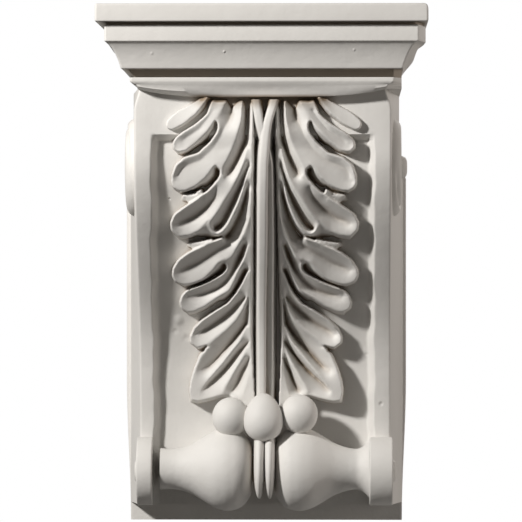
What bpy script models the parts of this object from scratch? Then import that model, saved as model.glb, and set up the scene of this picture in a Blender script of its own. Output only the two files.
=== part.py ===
"""Scroll corbel with two half acanthus leaves, cast in one piece.

The corbel stands against the plane Y = 0 and reaches forward along -Y, with its origin at the
middle of its back face. Plans and profiles below are written as (x, forward, z), where forward
is the distance in front of the back plane and z the height above the underside.
"""
import bmesh
import bpy
import numpy as np

MM = 0.001

# Back plate
HEIGHT = 356 * MM
PLATE_HALF_WIDTH = 98.9 * MM
PLATE_FOOT_INSET = 3 * MM
PLATE_FOOT_TAPER = 100 * MM
PLATE_THICKNESS = 8 * MM
PLATE_TOP = 241 * MM
PLATE_SHOULDER = 6 * MM

# Console body, whose face swings back in an S from the swell under the cap to the waist
BODY_HALF_WIDTH = 87.3 * MM
WALL_FOOT_SPREAD_TOP = 6.7 * MM
WALL_FOOT_SPREAD = 8.7 * MM
BODY_FRONT = 129 * MM
RECEDE = 76.5 * MM
LOWER_RECEDE = 6 * MM
SWELL_BELOW_CAP = 36 * MM
WAIST_ABOVE_SCROLL = 45 * MM
LOWER_SWEEP_ABOVE_SCROLL = 63 * MM
LOWER_SWEEP = 54 * MM
SHOULDER_HEIGHT = 9 * MM
SHOULDER_INSET = 4 * MM

# Raised border and sunk panel
BORDER_WIDTH = 11.3 * MM
PANEL_DEPTH = 8.5 * MM
PANEL_SLOPE = 4 * MM
PANEL_BELOW_CAP = 25 * MM

# Cap, from the top down; a reach is measured from the body's sides. The left return widens
# towards the wall. The right one is wider near its front, bulges at the cove and is flush below.
TOP_FASCIA = 12 * MM
SECOND_FASCIA = 13 * MM
COVE = 18 * MM
REVEAL = 5.7 * MM
FILLET = 2.7 * MM
BED = 10.4 * MM
BED_END_LIFT = 5.4 * MM
TOP_REACH = 24.6 * MM
SECOND_REACH = 18.5 * MM
COVE_REACH = 8 * MM
REVEAL_REACH = -3 * MM
FILLET_REACH = 2.2 * MM
BED_REACH = -2.8 * MM
COVE_HOLLOW = 0.55
RETURN_DEPTH = (110 * MM, 130 * MM)
SECOND_FLARE = 2.5 * MM
SECOND_RIGHT_FLARE = 4.8 * MM
COVE_FLARE = 1.5 * MM
COVE_RIGHT_BULGE = 4.2 * MM
BED_FLARE = 0.5 * MM
BED_RIGHT_REAR_REACH = 7 * MM
BED_LEFT_SETBACK = 5.5 * MM
BED_BREAK_RISE = 0.55
BED_BREAK_LIFT = 0.35
BED_BREAK_SETBACK = 0.4
CAP_FORWARD = 11.4 * MM
TOP_EDGE = 1 * MM

# Lower scroll: a disk at each end, and between them two rolls drawn together by a tie
SCROLL_RADIUS = 23.8 * MM
SCROLL_CENTRE_Z = 36.6 * MM
SCROLL_FORWARD = 50 * MM
DISK_WIDTH = 11 * MM
DISK_OVERHANG = 1.8 * MM
ROLL_RADIUS = 29.3 * MM
NECK_RADIUS = 14 * MM
ROLL_HALF_LENGTH = 72.8 * MM
MOUTH_FLARE = (0.5 * MM, 6 * MM)
ROLL_RISE = 1.6 * MM
ROLL_FORWARD = 3 * MM
TIE_HALF_WIDTH = 8.8 * MM
TIE_CORE_RADIUS = 9 * MM
DROP_RADIUS = 3.4 * MM
DROP_LENGTH = 46 * MM
DROP_SPACING = 7.2 * MM

# Three berries over the tie
BERRY_RADIUS = 12.9 * MM
BERRY_SPACING = 24.8 * MM
BERRY_FORWARD_OF_SCROLL = 12.5 * MM
BERRY_ABOVE_SCROLL = 38.2 * MM
BERRY_SHIFT = -0.8 * MM
RIGHT_BERRY_LIFT = 2 * MM
MIDDLE_BERRY_HALF_WIDTH = 13.7 * MM
MIDDLE_BERRY_HALF_HEIGHT = 16.8 * MM
MIDDLE_BERRY_FORWARD = 6 * MM

# Stem of two strands between the leaves, with a thin rib on each side
STRAND_RADIUS = 2.6 * MM
STRAND_STAND_OFF = 20 * MM
STRAND_SPREAD = 6.8 * MM
STRAND_FORK = 16 * MM
STEM_SWAY = 1.2 * MM
RIB_RADIUS = 1.8 * MM
RIB_STAND_OFF = 13.5 * MM
RIB_OFFSET = 8.2 * MM

# Leaves, on a low bed that fills the ground between their roots
BED_RISE = 6.5 * MM
BED_INNER = 4.5 * MM
BED_OUTER = 14 * MM
BED_FAN = 24 * MM
BED_FAN_LENGTH = 50 * MM
LEAF_SPREAD = 62 * MM
RIGHT_LEAF_STRETCH = 1.03
LEAF_CLEARANCE = 1.5 * MM
LEAF_ROOT_HEIGHT = 13.5 * MM
LOBE_BURY = 3 * MM
LOBE_DRAFT = 0.2
LOBE_HOLLOW = 0.8
DEEPEST_HOLLOW = 6 * MM
LOBE_BLUNTNESS = 2.7
CREASE_AT_ROOT = 0.15
CREASE_SHARE = 0.84
FLANK_OUT = 0.55
FLANK_RISE = 0.45

# Side volutes
VOLUTE_RADIUS = 34 * MM
VOLUTE_BELOW_CAP = 46.5 * MM
VOLUTE_BEHIND_FACE = 44 * MM
VOLUTE_REACH = 7.2 * MM
EYE_RADIUS = 8 * MM
EYE_REACH = (8.2 * MM, 11.4 * MM)
LOWER_EYE_RADIUS = 7 * MM
LOWER_EYE_REACH = 4.6 * MM

# Facets
SWEEP_LEVELS = 14
LOWER_SWEEP_LEVELS = 4
COVE_STEPS = 4
ROUND_SIDES = 20
LOBE_STEPS = 9
LOBE_TIP_STEPS = 4
SHARP_ANGLE = 0.6

# Levels and depths that follow from the sizes above
CAP_BOTTOM = HEIGHT - TOP_FASCIA - SECOND_FASCIA - COVE - REVEAL - FILLET - BED
SWELL_Z = CAP_BOTTOM - SWELL_BELOW_CAP
SCROLL_TOP = SCROLL_CENTRE_Z + SCROLL_RADIUS
SCROLL_BOTTOM = SCROLL_CENTRE_Z - SCROLL_RADIUS
WAIST_Z = SCROLL_TOP + WAIST_ABOVE_SCROLL
WAIST_FRONT = BODY_FRONT - RECEDE - LOWER_RECEDE
LOWER_SWEEP_Z = SCROLL_TOP + LOWER_SWEEP_ABOVE_SCROLL
PANEL_TOP = CAP_BOTTOM - PANEL_BELOW_CAP
PANEL_RIM_X = BODY_HALF_WIDTH - BORDER_WIDTH
PANEL_X = PANEL_RIM_X - PANEL_SLOPE
CAP_FRONT = BODY_FRONT + CAP_FORWARD
ROLL_Z = SCROLL_CENTRE_Z + ROLL_RISE
ROLL_FRONT = SCROLL_FORWARD + ROLL_FORWARD
BERRY_Z = SCROLL_CENTRE_Z + BERRY_ABOVE_SCROLL
LEAF_TOP = CAP_BOTTOM - LEAF_CLEARANCE
LEAF_LENGTH = LEAF_TOP - BERRY_Z - BERRY_RADIUS / 2
FACE_MARKS = np.array([0.35, 0.7])

# One half leaf, drawn beside the stem. Down is a share of the leaf's length, and bow is the sag of
# the lobe's middle line as a share of its own length. Out, the widths on the upper and the lower
# side, the width at the root and the tip's height are shares of the leaf's spread. The crease is
# a share of the upper width. A lobe starts with a taper and ends blunt.
LOBES = [
    # root out, down, tip out, down, bow, upper, lower, widest, root, crease, height, taper
    ("first", 0.589, 0.000, 1.024, 0.075, 0.10, 0.073, 0.089, 0.60, 0.040, 0.30, 0.194, 0.06),
    ("second", 0.435, 0.000, 0.968, 0.166, 0.13, 0.113, 0.068, 0.66, 0.071, 0.75, 0.177, 0.05),
    ("third", 0.274, 0.000, 0.984, 0.284, 0.14, 0.153, 0.106, 0.72, 0.074, 0.75, 0.177, 0.04),
    ("fourth", 0.161, 0.008, 0.992, 0.423, 0.17, 0.153, 0.145, 0.76, 0.055, 0.45, 0.177, 0.05),
    ("fourth_fold", 0.145, 0.133, 0.556, 0.437, 0.10, 0.097, 0.074, 0.66, 0.035, 0.10, 0.194, 0.25),
    ("fifth", 0.145, 0.195, 1.000, 0.576, 0.17, 0.161, 0.169, 0.74, 0.042, 0.40, 0.177, 0.25),
    ("sixth", 0.145, 0.349, 0.919, 0.684, 0.17, 0.126, 0.106, 0.74, 0.039, 0.40, 0.177, 0.25),
    ("seventh", 0.137, 0.464, 0.806, 0.789, 0.13, 0.113, 0.105, 0.72, 0.039, 0.30, 0.177, 0.25),
    ("end_outer", 0.134, 0.588, 0.798, 0.981, 0.02, 0.137, 0.106, 0.62, 0.039, 0.10, 0.194, 0.20),
    ("end_middle", 0.126, 0.708, 0.758, 0.986, 0.09, 0.100, 0.100, 0.60, 0.039, 0.10, 0.194, 0.20),
    ("end_inner", 0.121, 0.790, 0.420, 1.010, 0.04, 0.087, 0.087, 0.60, 0.039, 0.10, 0.194, 0.20),
    ("end_stem", 0.105, 0.866, 0.210, 1.020, 0.02, 0.058, 0.058, 0.50, 0.035, 0.10, 0.194, 0.20),
]


def ease(t):
    """Smooth step: 0 below 0, 1 above 1, level at both ends."""
    t = np.clip(t, 0.0, 1.0)
    return t * t * (3.0 - 2.0 * t)


def face_forward(z):
    """How far forward the border's face stands at height z: a long swing back, and a short one."""
    back = RECEDE * ease((SWELL_Z - z) / (SWELL_Z - WAIST_Z))
    return BODY_FRONT - back - LOWER_RECEDE * ease((LOWER_SWEEP_Z - z) / LOWER_SWEEP)


def panel_forward(z):
    """How far forward the sunk panel stands at height z."""
    return face_forward(z) - PANEL_DEPTH


def wall_foot(z):
    """Half width of the side walls where they meet the back plate."""
    spread = WALL_FOOT_SPREAD + (WALL_FOOT_SPREAD_TOP - WALL_FOOT_SPREAD) * ease(
        (z - PLATE_TOP) / PLATE_SHOULDER)
    return BODY_HALF_WIDTH + spread


def plate_half_width(z):
    """Half width of the back plate, which narrows at its foot and ends in a shoulder at its top."""
    foot = PLATE_FOOT_INSET * ease(1 - z / PLATE_FOOT_TAPER)
    shoulder = ease((z - PLATE_TOP) / PLATE_SHOULDER)
    return (PLATE_HALF_WIDTH - foot) * (1 - shoulder) + wall_foot(z) * shoulder


def mirrored(left):
    """A plan's left half, from the back to near the middle, with the middle and the right half."""
    left = np.array(left)
    middle = left[-1] * (0, 1, 1)
    return np.vstack([left, middle, left[::-1] * (-1, 1, 1)])


def plate_plan(z):
    """Plan of the back plate alone."""
    xs = [wall_foot(z), BODY_HALF_WIDTH, PANEL_RIM_X, PANEL_X, *(PANEL_X * FACE_MARKS[::-1])]
    half = plate_half_width(z)
    front = [(-x, PLATE_THICKNESS, z) for x in xs]
    return mirrored([(-half, 0, z), (-half, PLATE_THICKNESS, z), *front])


def body_plan(z, inset=0.0):
    """Plan of the console with its border and panel; inset draws its sides in."""
    half = plate_half_width(z) - inset
    foot = wall_foot(z) - inset
    face = face_forward(z)
    sunk = face - PANEL_DEPTH * np.clip((PANEL_TOP - z) / PANEL_SLOPE, 0, 1)
    side = [(-half, 0, z), (-half, PLATE_THICKNESS, z), (-foot, PLATE_THICKNESS, z)]
    border = [(inset - BODY_HALF_WIDTH, face, z), (-PANEL_RIM_X, face, z)]
    panel = [(-x, sunk, z) for x in (PANEL_X, *(PANEL_X * FACE_MARKS[::-1]))]
    return mirrored(side + border + panel)


def cap_plan(reach, z, lift=0.0, front=None, flare=(0.0, 0.0, 0.0), setback=0.0):
    """Plan of one edge of the cap; lift raises its ends, and setback draws its left front back.
    flare widens the left return, the right one at the wall and the right one near its front."""
    half = BODY_HALF_WIDTH + reach
    front = CAP_FRONT + reach if front is None else front
    xs = np.array([half, PANEL_RIM_X, PANEL_X, *(PANEL_X * FACE_MARKS[::-1])])
    heights = z + lift * (xs / half) ** 4
    side = [(-half, 0, z + lift), (-half, PLATE_THICKNESS, z + lift), (-half, RETURN_DEPTH[0], z + lift)]
    plan = mirrored(side + [(-x, front, h) for x, h in zip(xs, heights)])
    plan[3:-3, 1] -= setback * ease(-plan[3:-3, 0] / half)
    plan[-3, 1] = RETURN_DEPTH[1]
    plan[:3, 0] -= flare[0]
    plan[-2:, 0] += flare[1]
    plan[-3, 0] += flare[2]
    return plan


def low_flare(reach):
    """Flares of the cap's lower edges, whose right returns end flush with each other."""
    right = BED_RIGHT_REAR_REACH - reach
    return BED_FLARE, right, right


def body_levels():
    """Heights of the plans up the body, closer together where the face curves."""
    scroll = [SCROLL_BOTTOM, SCROLL_CENTRE_Z, SCROLL_TOP]
    sweep = np.linspace(WAIST_Z, SWELL_Z, SWEEP_LEVELS)
    lower = np.linspace(LOWER_SWEEP_Z - LOWER_SWEEP, WAIST_Z, LOWER_SWEEP_LEVELS)
    above = [PANEL_TOP - PANEL_SLOPE, PANEL_TOP, CAP_BOTTOM - SHOULDER_HEIGHT]
    plate = [PLATE_FOOT_TAPER, PLATE_TOP, PLATE_TOP + PLATE_SHOULDER]
    return np.unique(np.round(np.concatenate([scroll, lower, sweep, above, plate]), 5))


def cap_plans():
    """Plans of the cap from its bed moulding up to its top."""
    z = CAP_BOTTOM
    lift = BED_END_LIFT
    plans = [cap_plan(BED_REACH, z, lift, BODY_FRONT, low_flare(BED_REACH))]
    plans.append(cap_plan(BED_REACH, z, lift, flare=low_flare(BED_REACH), setback=BED_LEFT_SETBACK))
    halfway = (BED_REACH + FILLET_REACH) / 2
    setback = BED_LEFT_SETBACK * BED_BREAK_SETBACK
    rise = BED * BED_BREAK_RISE
    lift *= BED_BREAK_LIFT
    plans.append(cap_plan(halfway, z + rise, lift, flare=low_flare(halfway), setback=setback))
    z += BED
    plans.append(cap_plan(FILLET_REACH, z, flare=low_flare(FILLET_REACH)))
    z += FILLET
    plans.append(cap_plan(FILLET_REACH, z, flare=low_flare(FILLET_REACH)))
    plans.append(cap_plan(REVEAL_REACH, z, flare=low_flare(REVEAL_REACH)))
    z += REVEAL
    plans.append(cap_plan(REVEAL_REACH, z, flare=low_flare(REVEAL_REACH)))
    for turn in np.linspace(0, np.pi / 2, COVE_STEPS + 1):
        rise = np.sin(turn)
        out = COVE_HOLLOW * (1 - np.cos(turn)) + (1 - COVE_HOLLOW) * rise
        reach = COVE_REACH + (SECOND_REACH - COVE_REACH) * out
        left = COVE_FLARE + (SECOND_FLARE - COVE_FLARE) * rise ** 0.5
        bulge = COVE_RIGHT_BULGE * np.sin(np.pi * rise ** 1.6)
        near_front = bulge + (SECOND_RIGHT_FLARE - bulge) * rise ** 4
        plans.append(cap_plan(reach, z + COVE * rise, flare=(left, bulge, near_front)))
    z += COVE + SECOND_FASCIA
    plans.append(cap_plan(SECOND_REACH, z, flare=(SECOND_FLARE, 0, SECOND_RIGHT_FLARE)))
    plans.append(cap_plan(TOP_REACH, z))
    plans += [cap_plan(TOP_REACH, HEIGHT - TOP_EDGE), cap_plan(TOP_REACH - TOP_EDGE, HEIGHT)]
    return plans


def to_world(points):
    """(x, forward, z) to Blender's axes, measured from the middle of the back face."""
    points = np.asarray(points, float).reshape(-1, 3)
    return points * (1, -1, 1) - (0, 0, HEIGHT / 2)


def make_object(name, points, faces):
    """A closed mesh object from points and faces, with its faces turned outwards."""
    shape = bmesh.new()
    corners = [shape.verts.new(p) for p in to_world(points)]
    for face in faces:
        shape.faces.new([corners[i] for i in face])
    bmesh.ops.remove_doubles(shape, verts=shape.verts, dist=0.00002)
    bmesh.ops.dissolve_degenerate(shape, edges=shape.edges, dist=0.00002)
    bmesh.ops.triangulate(shape, faces=shape.faces)
    bmesh.ops.recalc_face_normals(shape, faces=shape.faces)
    mesh = bpy.data.meshes.new(name)
    shape.to_mesh(mesh)
    shape.free()
    mesh.shade_smooth()
    mesh.set_sharp_from_angle(angle=SHARP_ANGLE)
    result = bpy.data.objects.new(name, mesh)
    bpy.context.scene.collection.objects.link(result)
    return result


def ring_faces(rings, size, split_at=None):
    """Triangles between neighbouring rings of the same size; the diagonal turns at split_at."""
    faces = []
    for ring in range(rings - 1):
        for i in range(size):
            j = (i + 1) % size
            a, b = ring * size + i, ring * size + j
            c, d = b + size, a + size
            if split_at is None or i < split_at:
                faces += [(a, b, d), (b, c, d)]
            else:
                faces += [(a, b, c), (a, c, d)]
    return faces


def fan(start, size):
    """Triangles over a plan: its front points joined to its two back corners."""
    middle = size // 2
    last = start + size - 1
    left = [(start, start + i, start + i + 1) for i in range(1, middle)]
    right = [(last, start + i, start + i + 1) for i in range(middle, size - 2)]
    return left + right + [(start, start + middle, last)]


def make_body():
    """Back plate, console and cap as one skin over plans stacked from the foot to the top."""
    plans = [plate_plan(0), plate_plan(SCROLL_BOTTOM)]
    plans += [body_plan(z) for z in body_levels()]
    plans += [body_plan(CAP_BOTTOM, SHOULDER_INSET * 0.3)]
    plans += [body_plan(CAP_BOTTOM + BED_END_LIFT * 0.5, SHOULDER_INSET)]
    plans[-1][:, 2] = cap_plans()[0][:, 2]
    plans += cap_plans()
    size = len(plans[0])
    faces = ring_faces(len(plans), size, split_at=size // 2)
    faces += fan(0, size) + fan((len(plans) - 1) * size, size)
    return make_object("corbel", np.vstack(plans), faces)


def turned(name, profile, centre, sides=ROUND_SIDES):
    """A solid turned about a line along X: the profile is a list of (x, radius)."""
    turn = np.linspace(0, 2 * np.pi, sides, endpoint=False) + np.pi / sides
    points = [
        (x, centre[0] + radius * np.cos(a), centre[1] + radius * np.sin(a))
        for x, radius in profile for a in turn
    ]
    last = len(profile) * sides
    points += [(profile[0][0], *centre), (profile[-1][0], *centre)]
    faces = ring_faces(len(profile), sides)
    for i in range(sides):
        j = (i + 1) % sides
        faces.append((last, i, j))
        faces.append((last + 1, last - sides + i, last - sides + j))
    return make_object(name, points, faces)


def roll_profile(side):
    """Profile of a roll: a blunt end at the tie, a full belly, a slim neck and a flared mouth."""
    along = np.array([0.0, 0.02, 0.07, 0.16, 0.28, 0.40, 0.52, 0.64, 0.78, 0.88, 0.95, 1.0])
    share = np.array([0.0, 0.0, 0.66, 0.93, 1.0, 0.88, 0.58, 0.25, 0.04, 0.0, 0.0, 0.0])
    xs = TIE_HALF_WIDTH + along * (ROLL_HALF_LENGTH - TIE_HALF_WIDTH)
    radii = NECK_RADIUS + share * (ROLL_RADIUS - NECK_RADIUS)
    radii += MOUTH_FLARE[side > 0] * np.clip((along - 0.85) / 0.15, 0, 1) ** 2
    radii[:2] = np.array([0.3, 0.6]) * ROLL_RADIUS
    return [(side * x, r) for x, r in zip(xs, radii)]


def make_scroll():
    """Disks, rolls, the tie's core and its two hanging drops."""
    parts = []
    for side in (-1, 1):
        outer = BODY_HALF_WIDTH + DISK_OVERHANG
        inner = outer - DISK_WIDTH if side < 0 else ROLL_HALF_LENGTH
        disk = [(side * inner, SCROLL_RADIUS), (side * outer, SCROLL_RADIUS)]
        parts.append(turned("disk", disk, (SCROLL_FORWARD, SCROLL_CENTRE_Z)))
        parts.append(turned("roll", roll_profile(side), (ROLL_FRONT, ROLL_Z)))
        parts.append(make_drop(side))
    core = [(-TIE_HALF_WIDTH * 1.3, TIE_CORE_RADIUS), (TIE_HALF_WIDTH * 1.3, TIE_CORE_RADIUS)]
    parts.append(turned("tie_core", core, (ROLL_FRONT, ROLL_Z)))
    return parts


def make_drop(side):
    """A slim drop hanging over the tie, full for half its length and round at its foot."""
    steps, sides = 7, 8
    turn = np.linspace(0, 2 * np.pi, sides, endpoint=False)
    down = np.linspace(0, 1, steps)
    width = DROP_RADIUS * np.sqrt(1.02 - np.clip(2 * down - 1, 0, 1) ** 2.5)
    lean = ROLL_FRONT + (ROLL_RADIUS - DROP_RADIUS) * np.cos((down - 0.4) * 1.3)
    tops = ROLL_Z + DROP_LENGTH * (0.6 - down)
    points = [
        (side * DROP_SPACING / 2 + w * np.cos(a), f + 3.2 * w * (np.sin(a) - 0.6), z)
        for w, f, z in zip(width, lean, tops) for a in turn
    ]
    return close_tube("drop", points, steps, sides)


def close_tube(name, points, steps, sides):
    """A tube of equal rings with both ends closed."""
    faces = ring_faces(steps, sides)
    faces += [tuple(range(sides)), tuple(range((steps - 1) * sides, steps * sides))]
    return make_object(name, points, faces)


def ball(name, centre, half, around=14, up=8):
    """An ellipsoid with its poles on the Z axis."""
    lift = np.linspace(-np.pi / 2, np.pi / 2, up + 1)[1:-1]
    turn = np.linspace(0, 2 * np.pi, around, endpoint=False)
    points = [
        (centre[0] + half[0] * np.cos(v) * np.cos(a),
         centre[1] + half[1] * np.cos(v) * np.sin(a),
         centre[2] + half[2] * np.sin(v))
        for v in lift for a in turn
    ]
    count = len(points)
    points += [(centre[0], centre[1], centre[2] - half[2]), (centre[0], centre[1], centre[2] + half[2])]
    faces = ring_faces(len(lift), around)
    for i in range(around):
        j = (i + 1) % around
        faces.append((count, i, j))
        faces.append((count + 1, count - around + i, count - around + j))
    return make_object(name, points, faces)


def make_berries():
    """A middle berry, longer than it is wide, between two round ones."""
    forward = SCROLL_FORWARD + BERRY_FORWARD_OF_SCROLL
    parts = []
    for side in (-1, 1):
        lift = RIGHT_BERRY_LIFT if side > 0 else 0.0
        centre = (BERRY_SHIFT + side * BERRY_SPACING, forward, BERRY_Z + lift)
        parts.append(ball("berry", centre, [BERRY_RADIUS] * 3))
    half = (MIDDLE_BERRY_HALF_WIDTH, MIDDLE_BERRY_HALF_WIDTH, MIDDLE_BERRY_HALF_HEIGHT)
    centre = (BERRY_SHIFT, forward + MIDDLE_BERRY_FORWARD, BERRY_Z)
    parts.append(ball("middle_berry", centre, half))
    return parts


def upright_bar(name, xs, zs, radius, stand_off):
    """A round-topped bar standing on the panel along the line through (xs, zs)."""
    turn = np.linspace(0, np.pi, 5)
    points = []
    for x, z in zip(xs, zs):
        base = panel_forward(z)
        points.append((x + radius, base - LOBE_BURY, z))
        for a in turn:
            rise = stand_off - radius * (1 - np.sin(a))
            points.append((x + radius * np.cos(a), base + rise, z))
        points.append((x - radius, base - LOBE_BURY, z))
    return close_tube(name, points, len(xs), len(turn) + 2)


def make_stem():
    """Two strands that fork at the top, and a thin rib beside each leaf."""
    low = BERRY_Z
    high = LEAF_TOP
    zs = np.linspace(low, high, 13)
    fork = ease((zs - (high - STRAND_FORK)) / STRAND_FORK)
    sway = STEM_SWAY * (zs - low) / (high - low)
    parts = []
    for side in (-1, 1):
        xs = side * (STRAND_RADIUS * 0.9 + (STRAND_SPREAD - STRAND_RADIUS) * fork) + sway
        parts.append(upright_bar("strand", xs, zs, STRAND_RADIUS, STRAND_STAND_OFF))
        xs = side * (RIB_OFFSET + STRAND_SPREAD * 0.4 * fork)
        parts.append(upright_bar("rib", xs, zs, RIB_RADIUS, RIB_STAND_OFF))
    return parts


def lobe_lines(lobe):
    """Rims, crease and their heights of one lobe in (x, z), from its root to its tip."""
    root_x, root_down, tip_x, tip_down, bow, upper, lower, widest, root_half = lobe[1:10]
    crease, tip_height, taper = lobe[10:]
    root = np.array([root_x * LEAF_SPREAD, LEAF_TOP - root_down * LEAF_LENGTH])
    tip = np.array([tip_x * LEAF_SPREAD, LEAF_TOP - tip_down * LEAF_LENGTH])
    chord = tip - root
    control = (root + tip) / 2 + 2 * bow * np.array([chord[1], -chord[0]])
    rise = np.linspace(0, 1, LOBE_STEPS - LOBE_TIP_STEPS + 1)[:-1]
    turn = np.sin(np.linspace(0, np.pi / 2, LOBE_TIP_STEPS + 1))
    u = np.concatenate([rise * widest, widest + (1 - widest) * turn])
    t = u[:, None]
    middle = (1 - t) ** 2 * root + 2 * t * (1 - t) * control + t ** 2 * tip
    along = (1 - t) * (control - root) + t * (tip - control)
    along /= np.linalg.norm(along, axis=1, keepdims=True)
    across = np.stack([-along[:, 1], along[:, 0]], axis=1)
    across *= np.sign(across[LOBE_STEPS // 2, 1])
    closing = np.clip((u - widest) / (1 - widest), 0, 1)
    share = np.sqrt(1 - closing ** LOBE_BLUNTNESS) * np.sqrt(1 - np.clip(1 - u / taper, 0, 1) ** 2)
    up = LEAF_SPREAD * (root_half + (upper - root_half) * ease(u / widest)) * share
    down = LEAF_SPREAD * (root_half + (lower - root_half) * ease(u / widest)) * share
    height = LEAF_ROOT_HEIGHT + (LEAF_SPREAD * tip_height - LEAF_ROOT_HEIGHT) * u ** 1.3
    rim = np.vstack([middle + across * up[:, None], (middle - across * down[:, None])[-2:0:-1]])
    shift = up * (CREASE_AT_ROOT + (crease - CREASE_AT_ROOT) * ease(u * 1.3))
    spine = middle + across * shift[:, None]
    short = u * CREASE_SHARE
    spine = np.stack([np.interp(short, u, spine[:, k]) for k in (0, 1)], axis=1)
    depth = np.minimum(LOBE_HOLLOW * (up + down) / 2, DEEPEST_HOLLOW)
    floor = np.interp(short, u, height) - np.interp(short, u, depth)
    spine = np.vstack([spine, spine[-2:0:-1]])
    floor = np.concatenate([floor, floor[-2:0:-1]])
    return rim, np.concatenate([height, height[-2:0:-1]]), spine, floor


def make_lobe(lobe, side):
    """One lobe: a trough with raised rims and sloping walls, sunk a little into the panel."""
    rim, rim_height, spine, floor = lobe_lines(lobe)
    around = np.roll(rim, -1, axis=0) - np.roll(rim, 1, axis=0)
    around /= np.linalg.norm(around, axis=1, keepdims=True)
    outward = np.stack([-around[:, 1], around[:, 0]], axis=1)
    outward *= np.sign(np.sum(outward * (rim - rim.mean(axis=0)), axis=1).sum())
    foot = rim + outward * (LOBE_DRAFT * (rim_height + LOBE_BURY))[:, None]
    buried = np.full(len(rim), -LOBE_BURY)
    halfway = floor + FLANK_RISE * (rim_height - floor)
    rings = [(spine, floor), (spine + FLANK_OUT * (rim - spine), halfway)]
    rings += [(rim, rim_height), (foot, buried), (spine, buried)]
    stretch = RIGHT_LEAF_STRETCH if side > 0 else 1.0
    points = [
        (side * stretch * x, panel_forward(z) + h, z)
        for line, heights in rings for (x, z), h in zip(line, heights)
    ]
    return make_object("lobe_" + lobe[0], points, ring_faces(len(rings), len(rim)))


def make_bed(side):
    """The ground under a leaf's roots: a strip beside the stem that fans out at the top."""
    zs = np.linspace(BERRY_Z + BERRY_RADIUS, LEAF_TOP - BED_RISE / 4, 12)
    outer = BED_OUTER + BED_FAN * ease(1 - (LEAF_TOP - zs) / BED_FAN_LENGTH)
    points = []
    for x, z in zip(outer, zs):
        base = panel_forward(z)
        points.append((side * BED_INNER, base - LOBE_BURY, z))
        points.append((side * BED_INNER, base + BED_RISE, z))
        points.append((side * x, base + BED_RISE, z))
        points.append((side * (x + BED_RISE / 2), base - LOBE_BURY, z))
    return close_tube("bed", points, len(zs), 4)


def make_volutes():
    """Side volutes: a rounded disc with an eye at the swell, and an eye on each lower disk."""
    z = CAP_BOTTOM - VOLUTE_BELOW_CAP
    forward = BODY_FRONT - VOLUTE_BEHIND_FACE
    parts = []
    for side in (-1, 1):
        start = BODY_HALF_WIDTH - PANEL_SLOPE
        rise = VOLUTE_REACH
        edge = VOLUTE_RADIUS
        disc = [(0, edge), (rise * 0.55, edge), (rise * 0.9, edge - rise * 0.45), (rise, edge - rise)]
        disc = [(side * (BODY_HALF_WIDTH + x), r) for x, r in disc]
        disc[0] = (side * start, edge)
        parts.append(turned("volute", disc, (forward, z)))
        reach = BODY_HALF_WIDTH + EYE_REACH[side > 0]
        eye = [(side * start, EYE_RADIUS), (side * (reach - EYE_RADIUS / 4), EYE_RADIUS)]
        eye.append((side * reach, EYE_RADIUS * 0.7))
        parts.append(turned("eye", eye, (forward, z), 12))
        reach = BODY_HALF_WIDTH + LOWER_EYE_REACH
        eye = [(side * start, LOWER_EYE_RADIUS), (side * (reach - LOWER_EYE_RADIUS / 4), LOWER_EYE_RADIUS)]
        eye.append((side * reach, LOWER_EYE_RADIUS * 0.7))
        parts.append(turned("lower_eye", eye, (SCROLL_FORWARD, ROLL_Z), 12))
    return parts


def clear_scene():
    """Removes the objects that the scene starts with."""
    for old in list(bpy.data.objects):
        bpy.data.objects.remove(old, do_unlink=True)


def casting_material():
    """Matt off-white primer over the cast body."""
    material = bpy.data.materials.new("primed_casting")
    material.use_nodes = True
    shader = material.node_tree.nodes["Principled BSDF"]
    shader.inputs["Base Color"].default_value = (0.73, 0.71, 0.68, 1)
    shader.inputs["Roughness"].default_value = 0.6
    shader.inputs["Metallic"].default_value = 0.0
    return material


def main():
    """Builds the corbel: the skin of the body, with the carving joined to it."""
    clear_scene()
    body = make_body()
    carving = make_scroll() + make_berries() + make_stem() + make_volutes()
    for side in (-1, 1):
        carving.append(make_bed(side))
        carving += [make_lobe(lobe, side) for lobe in LOBES]
    group = bpy.data.collections.new("carving")
    bpy.context.scene.collection.children.link(group)
    for piece in carving:
        bpy.context.scene.collection.objects.unlink(piece)
        group.objects.link(piece)
        piece.hide_render = True
        piece.display_type = "WIRE"
    joined = body.modifiers.new("joined", "BOOLEAN")
    joined.operation = "UNION"
    joined.operand_type = "COLLECTION"
    joined.collection = group
    joined.solver = "EXACT"
    body.data.materials.append(casting_material())


main()
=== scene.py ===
import bmesh
import bpy
import numpy as np
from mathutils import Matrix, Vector


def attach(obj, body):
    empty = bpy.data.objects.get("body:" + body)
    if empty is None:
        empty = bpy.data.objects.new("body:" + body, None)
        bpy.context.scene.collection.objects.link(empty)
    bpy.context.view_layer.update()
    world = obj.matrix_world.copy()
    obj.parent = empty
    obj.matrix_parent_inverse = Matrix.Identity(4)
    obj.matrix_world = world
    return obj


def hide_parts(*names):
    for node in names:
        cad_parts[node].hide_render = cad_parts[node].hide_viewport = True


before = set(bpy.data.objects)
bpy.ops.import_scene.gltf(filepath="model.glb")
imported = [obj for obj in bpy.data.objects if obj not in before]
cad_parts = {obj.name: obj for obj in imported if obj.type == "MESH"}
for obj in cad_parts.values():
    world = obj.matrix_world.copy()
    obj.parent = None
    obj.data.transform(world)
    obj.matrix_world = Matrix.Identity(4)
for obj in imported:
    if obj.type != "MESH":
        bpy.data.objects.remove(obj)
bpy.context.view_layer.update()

# Plans and profiles are written in millimetres as (x, forward, z): forward is the distance in
# front of the back plane and z the height above the underside. to_world turns them to the frame.
# A pair of values is for the left side and the right one.
MM = 0.001
HEIGHT = 356.0

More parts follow.
